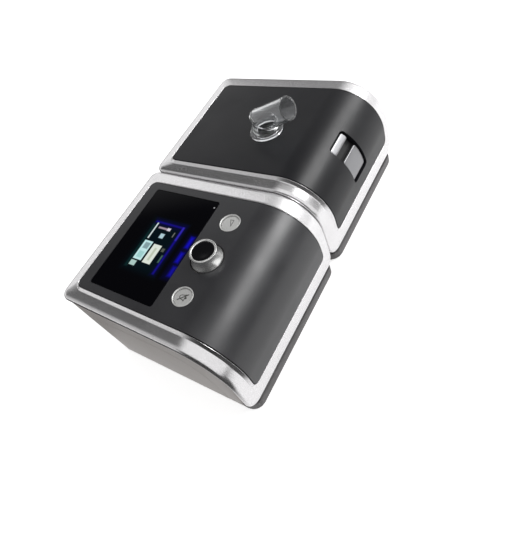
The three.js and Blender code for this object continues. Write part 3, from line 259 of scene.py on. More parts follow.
# %% Outlines bridged into a form
def round_loop(name, outline, lift, segments):
    left, right, back, front, back_corner, front_corner = outline
    middle = ((left + right) / 2, -(back + front) / 2, lift)
    bpy.ops.mesh.primitive_plane_add(size=1, location=middle)
    obj = bpy.context.object
    obj.name = name
    obj.scale = (right - left, front - back, 1)
    edit(settle(obj))
    for radius, y in ((back_corner, -back), (front_corner, -front)):
        pick(obj, lambda v: abs(v.co.y - y) < hair)
        bpy.ops.mesh.bevel(
            offset=radius, offset_type="OFFSET", segments=segments, affect="VERTICES")
    bpy.ops.mesh.select_all(action="SELECT")
    bpy.ops.mesh.delete(type="ONLY_FACE")
    return done(obj)


def stacked(name, levels, ring=False, segments=10):
    """Bridges (outline, lift) levels into a closed form: a ring, or a plate with filled ends."""
    whole = round_loop(name, *levels[0], segments)
    count = len(whole.data.vertices)
    for outline, lift in levels[1:]:
        join(whole, round_loop("loop", outline, lift, segments))
    last = len(levels) - 1
    edit(whole)
    for low in range(last + 1 if ring else last):
        pick(whole, lambda v: v.index // count in (low, (low + 1) % len(levels)))
        bpy.ops.mesh.bridge_edge_loops()
    for end in () if ring else (0, last):
        pick(whole, lambda v: v.index // count == end)
        bpy.ops.mesh.edge_face_add()
    turn_outwards()
    return done(whole)


# %% [markdown]
# Everything on the skin is cut from flat stock first, as a pattern with Y running back along the
# skin. Then it is scored across with bisects where the nose will bend it, and laid on the skin. A
# curve modifier could bend it too, but this way frame, panel and latch get the very same curve.

# %% Laying a pattern on the skin
def lay_on_skin(obj, steps=30):
    edit(obj)
    for step in range(steps + 1):
        s = flat_length + bend_length * step / steps
        bpy.ops.mesh.select_all(action="SELECT")
        bpy.ops.mesh.bisect(plane_co=(0, -s, 0), plane_no=(0, 1, 0))
    done(obj)
    for vertex in obj.data.vertices:
        vertex.co.y, vertex.co.z = skin(-vertex.co.y, vertex.co.z)
    return obj


def on_skin(obj, x, s):
    """Moves a piece modelled round the Z axis to its place on the sloping top."""
    y, z = skin(s, 0)
    obj.data.transform(Matrix.Translation((x, y, z)) @ Matrix.Rotation(slope, 4, "X"))
    return obj


# %% [markdown]
# Round pieces are turned, as on a lathe: the profile is drawn point by point as a chain of edges
# and spun once round the Z axis. Flat marks start as the same chain, then it is closed, filled and
# raised. A bevelled cylinder would give the same size, but not the flare of the dial.

# %% Turned and drawn pieces
def chain(name, points):
    """A chain of edges through points, drawn from one vertex by extruding it."""
    bpy.ops.mesh.primitive_plane_add(size=mm, location=(0, 0, 0))
    obj = bpy.context.object
    obj.name = name
    edit(obj)
    bpy.ops.mesh.select_all(action="SELECT")
    bpy.ops.mesh.merge(type="CENTER")
    bpy.ops.transform.translate(value=points[0])
    for before, after in zip(points, points[1:]):
        move = tuple(Vector(after) - Vector(before))
        bpy.ops.mesh.extrude_vertices_move(TRANSFORM_OT_translate={"value": move})
    bpy.ops.mesh.select_all(action="SELECT")
    return obj


def turned(name, profile, sides=64):
    """Spins a profile of (radius, height) in millimetres."""
    obj = chain(name, [(radius * mm, 0, height * mm) for radius, height in profile])
    bpy.ops.mesh.spin(steps=sides, angle=2 * math.pi, center=(0, 0, 0), axis=(0, 0, 1))
    turn_outwards(hair)
    return done(obj)


def drawn(name, points, low, high, stroke=0.0):
    """A flat shape of (x, y) points in millimetres, raised from low to high, or its outline."""
    obj = chain(name, [(x * mm, y * mm, low * mm) for x, y in [*points, points[0]]])
    bpy.ops.mesh.remove_doubles(threshold=hair)
    bpy.ops.mesh.select_all(action="SELECT")
    bpy.ops.mesh.edge_face_add()
    bpy.ops.mesh.select_mode(type="FACE")
    if stroke:
        bpy.ops.mesh.inset(thickness=stroke * mm)
        bpy.ops.mesh.delete(type="FACE")
        bpy.ops.mesh.select_all(action="SELECT")
    rise = (0, 0, (high - low) * mm)
    bpy.ops.mesh.extrude_region_move(TRANSFORM_OT_translate={"value": rise})
    turn_outwards()
    return done(obj)


# %% [markdown]
# Holes, pins and webs need plain bars and blocks. These never stand alone: they are cutters, or
# they are fused into a larger piece, so a primitive at its size and place is enough.

# %% Bars and blocks
def round_bar(radius, low, high, x=0.0, y=0.0, sides=64):
    """A round cutter or peg that stands on the flat pattern."""
    place = (x, y, (low + high) / 2)
    bpy.ops.mesh.primitive_cylinder_add(
        vertices=sides, radius=radius, depth=high - low, location=place)
    return settle(bpy.context.object)


def cross_bar(radius, half, place, sides=32):
    """A round bar that lies across, along X."""
    bpy.ops.mesh.primitive_cylinder_add(
        vertices=sides, radius=radius, depth=2 * half, location=place,
        rotation=(0, math.pi / 2, 0))
    return settle(bpy.context.object)


def block(size, place):
    bpy.ops.mesh.primitive_cube_add(size=1, location=place)
    bpy.context.object.scale = size
    return settle(bpy.context.object)


# %% [markdown]
# Materials are built from nodes in code. These helpers put one node at a time and fill its sockets:
# a plain value is written in, and another node's output is linked. So a formula reads as a formula,
# and the same few lines serve the materials, the floor and the world.

# %% Nodes in a formula
def feed(tree, value, socket):
    if isinstance(value, bpy.types.NodeSocket):
        tree.links.new(value, socket)
    else:
        socket.default_value = value


def fill(tree, node, values):
    for name, value in values.items():
        feed(tree, value, node.inputs[name])
    return node.outputs


def arithmetic(tree, operation, *values, kind="ShaderNodeMath"):
    node = tree.nodes.new(kind)
    node.operation = operation
    for value, socket in zip(values, node.inputs):
        feed(tree, value, socket)
    return node.outputs[0]


def product(tree, first, *others):
    for other in others:
        first = arithmetic(tree, "MULTIPLY", first, other)
    return first


def greatest(tree, first, *others):
    for other in others:
        first = arithmetic(tree, "MAXIMUM", first, other)
    return first


def remapped(tree, source, values, places=(0.0, 1.0)):
    """Runs from the first value to the second while the source runs from place to place."""
    node = tree.nodes.new("ShaderNodeMapRange")
    return fill(tree, node, {
        "Value": source, "From Min": places[0], "From Max": places[1],
        "To Min": values[0], "To Max": values[1]})["Result"]


def mixed(tree, factor, first, second):
    """The first colour where the factor is 0, and the second where it is 1."""
    mix = tree.nodes.new("ShaderNodeMix")
    mix.data_type = "RGBA"
    return fill(tree, mix, {"Factor": factor, "A": first, "B": second})["Result"]


def coordinates(tree, kind="Object"):
    return tree.nodes.new("ShaderNodeTexCoord").outputs[kind]


def axes_of(tree, vector):
    return fill(tree, tree.nodes.new("ShaderNodeSeparateXYZ"), {"Vector": vector}).values()


# %% [markdown]
# Moulded plastic is never quite even: it has a fine grain from the tool and slow changes of gloss
# from handling, and silver paint has a coarser sparkle of flakes. One node group makes all three
# from Object coordinates, and each finish uses it with its own sizes. Gloss and metal stay on the
# shader of each finish, so that the exporter can read them.

# %% The grain group
def new_group(name, inputs, outputs):
    group = bpy.data.node_groups.new(name, "ShaderNodeTree")
    for title, kind, value in inputs:
        socket = group.interface.new_socket(
            name=title, in_out="INPUT", socket_type="NodeSocket" + kind)
        if value is not None:
            socket.default_value = value
    for title in outputs:
        group.interface.new_socket(
            name=title, in_out="OUTPUT", socket_type="NodeSocketFloat")
    return group, group.nodes.new("NodeGroupInput"), group.nodes.new("NodeGroupOutput")


def grain_group():
    group, start, end = new_group(
        "grain",
        [("Vector", "Vector", None), ("Grain scale", "Float", 1500),
         ("Stretch", "Vector", (1, 1, 1)), ("Patch scale", "Float", 30),
         ("Flake scale", "Float", 1500)],
        ["Grain", "Patches", "Flakes"])
    place = start.outputs["Vector"]
    stretched = arithmetic(group, "MULTIPLY", place, start.outputs["Stretch"],
                           kind="ShaderNodeVectorMath")
    for title, source, scale, detail in (
        ("Grain", stretched, "Grain scale", 3),
        ("Patches", place, "Patch scale", 4),
        ("Flakes", place, "Flake scale", 1),
    ):
        noise = fill(group, group.nodes.new("ShaderNodeTexNoise"), {
            "Vector": source, "Scale": start.outputs[scale], "Detail": detail})
        group.links.new(noise["Fac"], end.inputs[title])
    return group


grain = grain_group()
print("grain group sockets", len(grain.interface.items_tree))

# %% [markdown]
# Each finish is one material: the group's grain and flakes shade the colour by a few percent, its
# patches change the gloss, and a Bump node gives the surface its tooth.

# %% A finish
def new_material(name):
    material = bpy.data.materials.new(name)
    material.use_nodes = True
    return material, material.node_tree, material.node_tree.nodes["Principled BSDF"]


def put_group(tree, group, vector, values):
    node = tree.nodes.new("ShaderNodeGroup")
    node.node_tree = group
    return fill(tree, node, {"Vector": vector, **values})


def tooth(tree, height, strength, depth):
    bump = tree.nodes.new("ShaderNodeBump")
    return fill(tree, bump, {
        "Height": height, "Strength": strength, "Distance": depth * mm})["Normal"]


smoothest = 0.02
flake_contrast = (0.3, 0.7)


def finish(name, color, roughness, metallic=0.0, scale=1500, depth=0.02, stretch=(1, 1, 1),
           vary=0.12, gloss_spread=0.1, specular=0.5, flakes=0.0):
    """A moulded, painted or brushed finish with grain in its colour, gloss and surface."""
    material, tree, shader = new_material(name)
    made = put_group(tree, grain, coordinates(tree), {"Grain scale": scale, "Stretch": stretch})
    tone = remapped(tree, made["Grain"], (1 - vary, 1 + vary))
    if flakes:
        sparkle = remapped(tree, made["Flakes"], (1 - flakes, 1 + flakes), flake_contrast)
        tone = product(tree, tone, sparkle)
    tint = tree.nodes.new("ShaderNodeVectorMath")
    tint.operation = "SCALE"
    glossiest = max(roughness - gloss_spread, smoothest)
    fill(tree, shader, {
        "Base Color": fill(tree, tint, {"Vector": color, "Scale": tone})["Vector"],
        "Roughness": remapped(tree, made["Patches"], (glossiest, roughness + gloss_spread)),
        "Metallic": metallic,
        "Specular IOR Level": specular,
        "Normal": tooth(tree, made["Grain"], strength=0.35, depth=depth)})
    return material


def dress(obj, material):
    obj.data.materials.clear()
    obj.data.materials.append(material)
    return obj


# %% [markdown]
# The finishes themselves: satin silver paint for the frames, a dark satin panel, the same charcoal
# painted darker on the lid as painted shade and with a weaker gloss, a warm light grey case over a
# dark base, gloss black, turned metal, and the plainer stuff inside. Each colour is written as it
# would be on a paint chip, because the light is kept at a plain level; the lid's darker charcoal is
# painted shade.

# %% The finishes
silver = finish("satin silver", (0.8, 0.79, 0.8), 0.25, metallic=0.95, scale=2500, depth=0.002,
                vary=0.08, gloss_spread=0.04, flakes=0.15)
key_silver = finish("key silver", (0.66, 0.66, 0.65), 0.36, metallic=0.5, scale=2600,
                    vary=0.06, flakes=0.1)
latch_silver = finish("latch silver", (0.27, 0.27, 0.28), 0.3, metallic=0.8, scale=2600,
                      depth=0.01, vary=0.05)
brushed = finish("brushed metal", (0.86, 0.86, 0.85), 0.23, metallic=0.88, scale=700,
                 stretch=(1, 1, 6), depth=0.0004, vary=0.06, gloss_spread=0.04)
charcoal = finish("charcoal panel", (0.021, 0.021, 0.024), 0.36, scale=2200, depth=0.012,
                  vary=0.1, specular=0.75)
# The lid's panel is the pump's charcoal with its colour painted darker as painted shade, and a
# weaker gloss.
lid_charcoal_painted_shade = finish("charcoal lid with painted shade", (0.007, 0.007, 0.009), 0.34, scale=2200, depth=0.012,
                      vary=0.1, specular=0.32)
wall_grey = finish("warm grey case", (0.5, 0.47, 0.455), 0.5, scale=1800, depth=0.03, vary=0.05)
base_grey = finish("dark grey base", (0.115, 0.11, 0.112), 0.5, scale=1600, depth=0.03, vary=0.06)
jet = finish("gloss black", (0.004, 0.004, 0.005), 0.1, scale=800, depth=0.001, gloss_spread=0.03)
soft_black = finish("matt black", (0.012, 0.012, 0.013), 0.6, depth=0.03)
mark_grey = finish("printed mark", (0.07, 0.07, 0.065), 0.55, scale=2000, depth=0.005)
rubber = finish("soft rubber", (0.02, 0.02, 0.02), 0.8, scale=900, depth=0.05)
laminate = finish("green laminate", (0.02, 0.11, 0.05), 0.45, scale=700)
bone = finish("white moulded", (0.75, 0.75, 0.73), 0.45, scale=1400, vary=0.04)
fibre = finish("grey fibre", (0.28, 0.28, 0.29), 0.95, scale=900, depth=0.3, vary=0.4)
print("finishes", len(bpy.data.materials))

# %% [markdown]
# The elbow and the water chamber are clear moulded plastic: nearly full transmission, a slight haze
# in the gloss, and next to no colour of their own. A see-through alpha would be quicker to render,
# but the wall of the elbow is real, so the light bends twice in it and its rims show bright.

# %% Clear plastic
def clear_plastic(name, color, roughness, transmission, haze=0.06):
    material, tree, shader = new_material(name)
    patches = put_group(tree, grain, coordinates(tree), {"Patch scale": 60})["Patches"]
    fill(tree, shader, {
        "Base Color": (*color, 1),
        "Roughness": remapped(tree, patches, (roughness, roughness + haze)),
        "IOR": 1.45,
        "Transmission Weight": transmission,
        "Normal": tooth(tree, patches, strength=0.12, depth=0.1)})
    return material


clear = clear_plastic("clear plastic", (0.93, 0.95, 0.96), 0.02, 1.0)
elbow_clear = clear_plastic("hazy clear plastic", (0.9, 0.91, 0.92), 0.03, 0.97)
print("clear plastics", clear.name, "and", elbow_clear.name)

# %% [markdown]
# Every CAD node gets its finish first, by the slot that the record gives it. The pieces that are
# made again further down take the same finish or a better one.

# %% Finishes for the CAD nodes
by_slot = {
    "silver": silver, "panel": charcoal, "grey": wall_grey, "dark": base_grey, "black": jet,
    "matte_black": soft_black, "button": key_silver, "steel": brushed, "rubber": rubber,
    "board": laminate, "light": bone, "clear": clear, "white": bone, "filter": fibre,
}
subparts = frame["record"]["subparts"]
for part in subparts:
    dress(nodes[part["node"]], by_slot[part["material_slot"]])
print("dressed nodes", len(subparts))

# %% [markdown]
# The cases and bases are plain moulded shells that keep their CAD shape. A CAD mesh is loose
# triangles, so a copy is merged first, and then its round corners can be shaded smooth.

# %% Cases and bases
def soft_copy(node, angle=32):
    only(nodes[node])
    obj = nodes[node].copy()
    obj.data = nodes[node].data.copy()
    obj.parent = None
    for key in list(obj.keys()):
        del obj[key]
    obj.name = node + "_soft"
    bpy.context.scene.collection.objects.link(obj)
    obj.data.materials.clear()
    tidy(obj, angle)
    return keep(obj, body_of_node[node], node)


soft = {}
for node, material in (
    ("main_upper_case", wall_grey), ("main_lower_case", wall_grey),
    ("humidifier_case", wall_grey), ("main_base", base_grey), ("humidifier_base", base_grey),
):
    soft[node] = dress(soft_copy(node), material)

# %% [markdown]
# Two mouldings never close without a line. Where the lower case meets the upper one, its edge is
# drawn down and back a little, so that the parting line shows as a thin dark gap. The vertices to
# move are those that lie next to a vertex of the upper case, and a tree of places finds them fast.

# %% The parting gap
meeting = 0.6 * mm
shadow_gap = Vector((0, 0.35, -0.6)) * mm

upper = soft["main_upper_case"].data.vertices
upper_places = KDTree(len(upper))
for vertex in upper:
    upper_places.insert(vertex.co, vertex.index)
upper_places.balance()
lower = soft["main_lower_case"].data.vertices
edge_vertices = [v for v in lower if upper_places.find(v.co)[2] < meeting]
for vertex in edge_vertices:
    vertex.co += shadow_gap
print("vertices moved for the parting gap", len(edge_vertices))

# %% [markdown]
# The silver frame is a moulded ring that runs round the whole skin. Its crest stands beside the
# panel, across a narrow gap that stays dark. From the crest it falls in a sloped lip to a flat
# strip, and the strip ends in a soft outer edge that rolls over into a short skirt. Each pair below
# is one edge loop of that section in millimetres: for the lip, how far out from the panel and how
# high, and for the edge, how far in from the outside and how high.

# %% Silver frames
lip_section = ((0.8, -2.7), (0.8, 2.45), (0.9, 2.57), (1.05, 2.6), (1.25, 2.45), (3.3, 0.3),
               (3.7, 0.06), (4.3, 0))
edge_section = ((4.6, -1.2), (3.2, -1.55), (2.2, -1.95), (1.4, -2.4), (0.8, -2.95), (0.4, -3.5),
                (0.12, -4.2), (0, -5), (0.05, -5.9), (0.3, -6.6), (2.6, -6.5), (2.6, -3))


def silver_frame(name, unit):
    opening, outer = panel_outline(unit), unit_outline(unit)
    levels = [(grown(opening, out * mm), lift * mm) for out, lift in lip_section]
    levels += [(grown(outer, -inward * mm), lift * mm) for inward, lift in edge_section]
    return lay_on_skin(stacked(name, levels, ring=True))


pump_ring = tidy(silver_frame("pump_silver_frame", pump))
dress(keep(pump_ring, "main_unit", "main_frame"), silver)
lid_ring = silver_frame("lid_silver_frame", humidifier)

# %% [markdown]
# The lid turns on two pins behind it. Each hinge knuckle is a short barrel with a web up to the
# frame, as on a moulded lid, and the barrel is bored for its pin. Fused into the frame's ring, they
# can't be left behind when the lid opens.

# %% Hinge knuckles
hinge_behind, hinge_below = 1.7 * mm, 11 * mm
hinge_y, hinge_z = back_y + hinge_behind, rim_height - hinge_below
knuckle_inset, knuckle_radius, knuckle_half = 36 * mm, 2.8 * mm, 7 * mm
pin_bore, bore_half = 1.5 * mm, 10 * mm
web_size = (2 * knuckle_half, 2.4 * mm, 6 * mm)

lid_left, lid_right = unit_outline(humidifier)[:2]
for x in (lid_left + knuckle_inset, lid_right - knuckle_inset):
    barrel = cross_bar(knuckle_radius, knuckle_half, (x, hinge_y, hinge_z))
    web = block(web_size, (x, hinge_y - web_size[1] / 2, hinge_z + web_size[2] / 2))
    combine(barrel, web, how="UNION")
    combine(barrel, cross_bar(pin_bore, bore_half, (x, hinge_y, hinge_z)))
    combine(lid_ring, barrel, how="UNION")
dress(keep(tidy(lid_ring), "lid", "lid_frame"), silver)

# %% [markdown]
# The dark panels stand 2.8 mm proud with a small rounding. Every opening in them is cut while the
# pattern is still flat, because there a round hole is a plain cylinder.

# %% A dark panel
panel_top, panel_foot, panel_round = 2.8 * mm, -2.6 * mm, 0.5 * mm
above, below = 6 * mm, -6 * mm
rounding_steps = 4


def dark_panel(name, unit, cutters):
    outline = panel_outline(unit)
    levels = [(outline, panel_foot)]
    for step in range(rounding_steps + 1):
        turn = math.pi / 2 * step / rounding_steps
        inward, rise = panel_round * (1 - math.cos(turn)), panel_round * math.sin(turn)
        levels.append((grown(outline, -inward), panel_top - panel_round + rise))
    return lay_on_skin(combine(stacked(name, levels), *cutters))


# %% [markdown]
# The pump's panel has a sunk bed for the display window, with a ledge that the window lies on, a
# hole for the dial, and for each button a seat for its ring and a bore for its stem.

# %% The pump's panel
window_half, window_back, window_to_dial = 62.3 * mm, 28.4 * mm, 22.3 * mm
window_corners = (3 * mm, 3 * mm)
window = (dial_x - window_half, dial_x + window_half, window_back, control_s - window_to_dial,
          *window_corners)
ledge_height, ledge_width = 0.1 * mm, 1.6 * mm
dial_bore, ring_bore, stem_bore = 16.5 * mm, 10.5 * mm, 9.1 * mm
ring_seat, through_top = -0.4 * mm, 1 * mm
dial_sides, button_sides = 96, 72

light_hole = grown(window, -ledge_width)
pump_cutters = [
    stacked("bed", [(window, ledge_height), (window, above)]),
    stacked("through", [(light_hole, below), (light_hole, through_top)]),
    round_bar(dial_bore, below, above, dial_x, -control_s, dial_sides),
]
for x in (dial_x - button_spread, dial_x + button_spread):
    pump_cutters += [
        round_bar(ring_bore, ring_seat, above, x, -control_s, button_sides),
        round_bar(stem_bore, below, through_top, x, -control_s, button_sides),
    ]
pump_panel = tidy(dark_panel("pump_dark_panel", pump, pump_cutters))
dress(keep(pump_panel, "main_unit", "main_panel"), charcoal)

# %% [markdown]
# The lid's panel has one hole for the elbow and a long opening for the latch, whose pin runs across
# into both sides of it. So a round hole is bored across after the panel is laid on the skin.

# %% The lid's panel
latch_length, bar_length, slot_length = 43.7 * mm, 8.7 * mm, 8.9 * mm
latch_half, latch_gap, latch_corners = 13.9 * mm, 1.1 * mm, (2.5 * mm, 2.5 * mm)
pin_setback, pin_lift = 4.3 * mm, -0.9 * mm
pin_hole, pin_hole_half = 1.4 * mm, 16.3 * mm
elbow_bore = 12.4 * mm

latch_back = nose_end - latch_length
slot_back = latch_back + bar_length
slot_front = slot_back + slot_length


def latch_outline(back, front, by):
    return grown((lid_x - latch_half, lid_x + latch_half, back, front, *latch_corners), by)


latch_hole = latch_outline(latch_back, nose_end, latch_gap)
lid_panel = dark_panel("lid_dark_panel", humidifier, [
    round_bar(elbow_bore, below, above, elbow_x, -elbow_s),
    stacked("latch_hole", [(latch_hole, below), (latch_hole, above)]),
])
latch_pin = (lid_x, *skin(nose_end - pin_setback, pin_lift))
combine(lid_panel, cross_bar(pin_hole, pin_hole_half, latch_pin))
# The lid's panel wears the charcoal with painted shade, darker than the pump's.
dress(keep(tidy(lid_panel), "lid", "lid_panel"), lid_charcoal_painted_shade)

# %% [markdown]
# The latch: a fixed bar at the back, a finger slot, and a lever that lies round the nose and swings
# on its pin. Both are dull silver and sit a little below the dark panel, in a hole that is wider
# than they are, so that a black shadow line runs round them. A fine groove crosses the lever just
# in front of the slot. It is cut with a block while the lever is still flat.

# %% Latch
latch_lip = ((0.4, 0.35), (0.48, 0.75), (0.75, 1.05), (1.15, 1.2), (1.8, 1.24))
latch_steps, latch_segments = 40, 6
bar_foot, lever_foot, lever_setback = -2.2 * mm, -0.9 * mm, 1.4 * mm
groove_size = (24 * mm, 0.45 * mm, 0.5 * mm)
groove_place = (lid_x, -(slot_front + 2.3 * mm), 1.2 * mm)
pin_radius, pin_half = 1.1 * mm, 15.9 * mm


def latch_piece(name, back, front, foot):
    levels = [(latch_outline(back, front, -latch_lip[0][0] * mm), foot)]
    levels += [(latch_outline(back, front, -inward * mm), lift * mm)
               for inward, lift in latch_lip]
    return stacked(name, levels, segments=latch_segments)


bar = lay_on_skin(latch_piece("latch_bar", latch_back, slot_back, bar_foot), latch_steps)
dress(keep(tidy(bar), "lid", "latch_trim"), latch_silver)

lever = latch_piece("latch_plate", slot_front, nose_end - lever_setback, lever_foot)
combine(lever, block(groove_size, groove_place))
lay_on_skin(lever, latch_steps)
combine(lever, cross_bar(pin_radius, pin_half, latch_pin), how="UNION")
dress(keep(tidy(lever), "latch", "latch_lever"), latch_silver)

# %% [markdown]
# Dial: a flared metal body with a rolled rim, round a sunk black cap. It is turned as one profile,
# so that the light runs round it without a seam, and then set on the sloping top.

# %% Dial
round_angle = 40


def set_by_dial(obj, x, body, node, material):
    """Stands a turned piece in the row of the dial and the buttons."""
    tidy(on_skin(obj, x, control_s), round_angle)
    return dress(keep(obj, body, node), material)


dial = turned("dial_body", (
    (0, 10.3), (3.2, 10.3), (3.2, 0.9), (15.2, 0.9), (15.5, 1.2), (15.5, 2.3), (15.3, 3.1),
    (14.75, 4.3), (14.1, 5.8), (13.5, 7.5), (13.05, 9.2), (12.75, 10.8), (12.65, 12.2),
    (12.75, 13.2), (12.85, 13.8), (12.75, 14.25), (12.4, 14.5), (11.8, 14.5), (11.3, 14.35),
    (10.95, 14.05), (10.75, 13.6), (10.75, 12.6), (0, 12.6)), sides=dial_sides)
set_by_dial(dial, dial_x, "knob", "knob_body", brushed)
cap = turned("dial_cap", (
    (0, 12.9), (10.55, 12.9), (10.55, 13.6), (10.35, 13.9), (10, 14.0), (7, 13.8), (3.5, 13.6),
    (0, 13.5)), sides=dial_sides)
set_by_dial(cap, dial_x, "knob", "knob_cap", jet)

# %% [markdown]
# Buttons: a silver disc, sunk in a thin ring that stands level with the panel. The two are alike,
# so one loop turns both, each with a mesh of its own.

# %% Buttons and bezels
ring_profile = ((9.0, -0.1), (10.2, -0.1), (10.2, 2.75), (10.05, 2.9), (9.75, 2.9), (9.6, 2.82),
                (9.12, 2.3), (9.0, 2.1), (9.0, -0.1))
disc_profile = ((0, -5), (3.2, -5), (3.2, -2.1), (8.7, -2.1), (8.7, 0.95), (8.6, 1.25),
                (8.35, 1.43), (8.0, 1.5), (0, 1.5))
for side, title in ((-1, "mute"), (1, "ramp")):
    x = dial_x + side * button_spread
    bezel = turned(title + "_ring", ring_profile, sides=button_sides)
    set_by_dial(bezel, x, "main_unit", title + "_bezel", key_silver)
    key = turned(title + "_disc", disc_profile, sides=button_sides)
    set_by_dial(key, x, title + "_key", title + "_button", key_silver)

# %% [markdown]
# Each button carries a plain printed mark in low relief. The one for the pressure ramp is a rising
# wedge, drawn as an outline. It rides on the button, so it goes down with it.

# %% Mark of the ramp button
mark_low, mark_high = 1.45, 1.56
wedge = drawn("ramp_mark", ((-3.6, -2.1), (4.4, -2.1), (4.4, 2.2)), mark_low, mark_high,
              stroke=0.55)
dress(keep(tidy(on_skin(wedge, dial_x + button_spread, control_s)), "ramp_key"), mark_grey)

# %% [markdown]
# The alarm's silence key shows a crossed bell: the outline of a bell, a small clapper and a bar
# across. Each is a closed shape, a hair higher than the one before, so that no two faces lie in one
# plane and flicker. They are joined and not fused, because a boolean leaves slivers at this size.

# %% Mark of the mute button
bell_half = ((3.9, -2.5), (3.1, -1.5), (2.6, -0.2), (2.4, 1.3), (1.9, 2.7), (1.0, 3.5))
bell_points = [*bell_half, (0, 3.75), *[(-x, y) for x, y in reversed(bell_half)]]
bell = drawn("mute_mark", bell_points, mark_low, mark_high, stroke=0.75)

clapper_sides, clapper_wide, clapper_high, clapper_y = 13, 1.13, 0.95, -3.07
angles = [2 * math.pi * (side + 0.3) / clapper_sides for side in range(clapper_sides)]
clapper_points = [(clapper_wide * math.cos(a), clapper_y + clapper_high * math.sin(a))
                  for a in angles]
clapper = drawn("clapper", clapper_points, mark_low - 0.01, mark_high + 0.01)

stroke_end, stroke_half = 4.2, 0.36
near_end, far_end = stroke_end - stroke_half, stroke_end + stroke_half
slash_points = ((-far_end, near_end), (near_end, -far_end), (far_end, -near_end),
                (-near_end, far_end))
slash = drawn("slash", slash_points, mark_low - 0.02, mark_high + 0.02)
join(bell, clapper, slash)
dress(keep(tidy(on_skin(bell, dial_x - button_spread, control_s)), "mute_key"), mark_grey)

# %% [markdown]
# The outlet elbow is one clear moulding: a collar, a short leg and a tube to the front, which meet
# in a mitre as in a stove pipe. Leg and tube are turned, each is cut by the mitre's plane with a
# bisect, and the two are fused. The bore is made in the same way, a wall smaller, and cut out.

# %% A mitred pipe
elbow_tilt = math.radians(25.8)
mitre_overlap = 0.05 * mm
centre = Vector((0, 0, 17.8 * mm))
tube_way = Vector((0, -math.cos(elbow_tilt), math.sin(elbow_tilt)))
mitre = (Vector((0, 0, 1)) + tube_way).normalized()


def cut_by_mitre(obj, keep_lower):
    overlap = 0.0 if keep_lower else mitre_overlap
    edit(obj)
    bpy.ops.mesh.select_all(action="SELECT")
    bpy.ops.mesh.bisect(plane_co=centre - overlap * mitre, plane_no=mitre, use_fill=True,
                        clear_outer=keep_lower, clear_inner=not keep_lower)
    turn_outwards()
    return done(obj)


def mitred(name, leg_profile, tube_profile):
    leg = cut_by_mitre(turned(name, leg_profile), True)
    tube = turned("tube", tube_profile)
    tilt = Matrix.Rotation(math.pi / 2 - elbow_tilt, 4, "X")
    tube.data.transform(Matrix.Translation(centre) @ tilt)
    return combine(leg, cut_by_mitre(tube, False), how="UNION")


# %% [markdown]
# Two such pipes make the elbow: the outside with its collar and the bead at its mouth, and the bore
# that is cut from it.

# %% Outlet elbow
outside = mitred(
    "clear_elbow",
    ((0, -14.4), (12, -14.4), (12, 3.1), (17.1, 3.1), (17.4, 3.4), (17.4, 4.7), (17.1, 5), (15, 5),
     (14.4, 5.5), (14.1, 6.5), (13.2, 17.8), (12.9, 34), (0, 34)),
    ((0, -14), (13, -14), (12.8, 0), (11.75, 33.2), (11.95, 33.4), (11.95, 34), (11.7, 34.2),
     (0, 34.2)))
inside = mitred(
    "bore",
    ((0, -20), (10.4, -20), (10.4, 34), (0, 34)),
    ((0, -12), (10.3, -12), (10.1, 40), (0, 40)))
combine(outside, inside)
tidy(on_skin(outside, elbow_x, elbow_s), round_angle, weighted=False)
dress(keep(outside, "elbow", "outlet_elbow"), elbow_clear)

# %% [markdown]
# The display is lit from behind its dark window. What it shows is drawn by masks on the window's
# own material: plain cards, bars and a glowing border. Strips of mesh under a clear window would
# cost more and could flicker. One group makes a soft-edged box from its middle and half its size.

# %% The lit box group
def lit_box_group():
    group, start, end = new_group(
        "lit box",
        [("Vector", "Vector", None), ("Centre", "Vector", (0, 0, 0)),
         ("Half size", "Vector", (1, 1, 1)), ("Soft", "Float", 0.4)],
        ["Mask"])
    given = start.outputs
    kind = "ShaderNodeVectorMath"
    from_centre = arithmetic(group, "SUBTRACT", given["Vector"], given["Centre"], kind=kind)
    distance = arithmetic(group, "ABSOLUTE", from_centre, kind=kind)
    beyond = arithmetic(group, "SUBTRACT", distance, given["Half size"], kind=kind)
    beyond_x, beyond_y, _ = axes_of(group, beyond)
    furthest = greatest(group, beyond_x, beyond_y)
    share = arithmetic(group, "DIVIDE", furthest, given["Soft"])
    mask = remapped(group, share, (1, 0), (-0.5, 0.5))
    mask.node.interpolation_type = "SMOOTHSTEP"
    group.links.new(mask, end.inputs["Mask"])
    return group


lit_box = lit_box_group()
print("lit box sockets", len(lit_box.interface.items_tree))
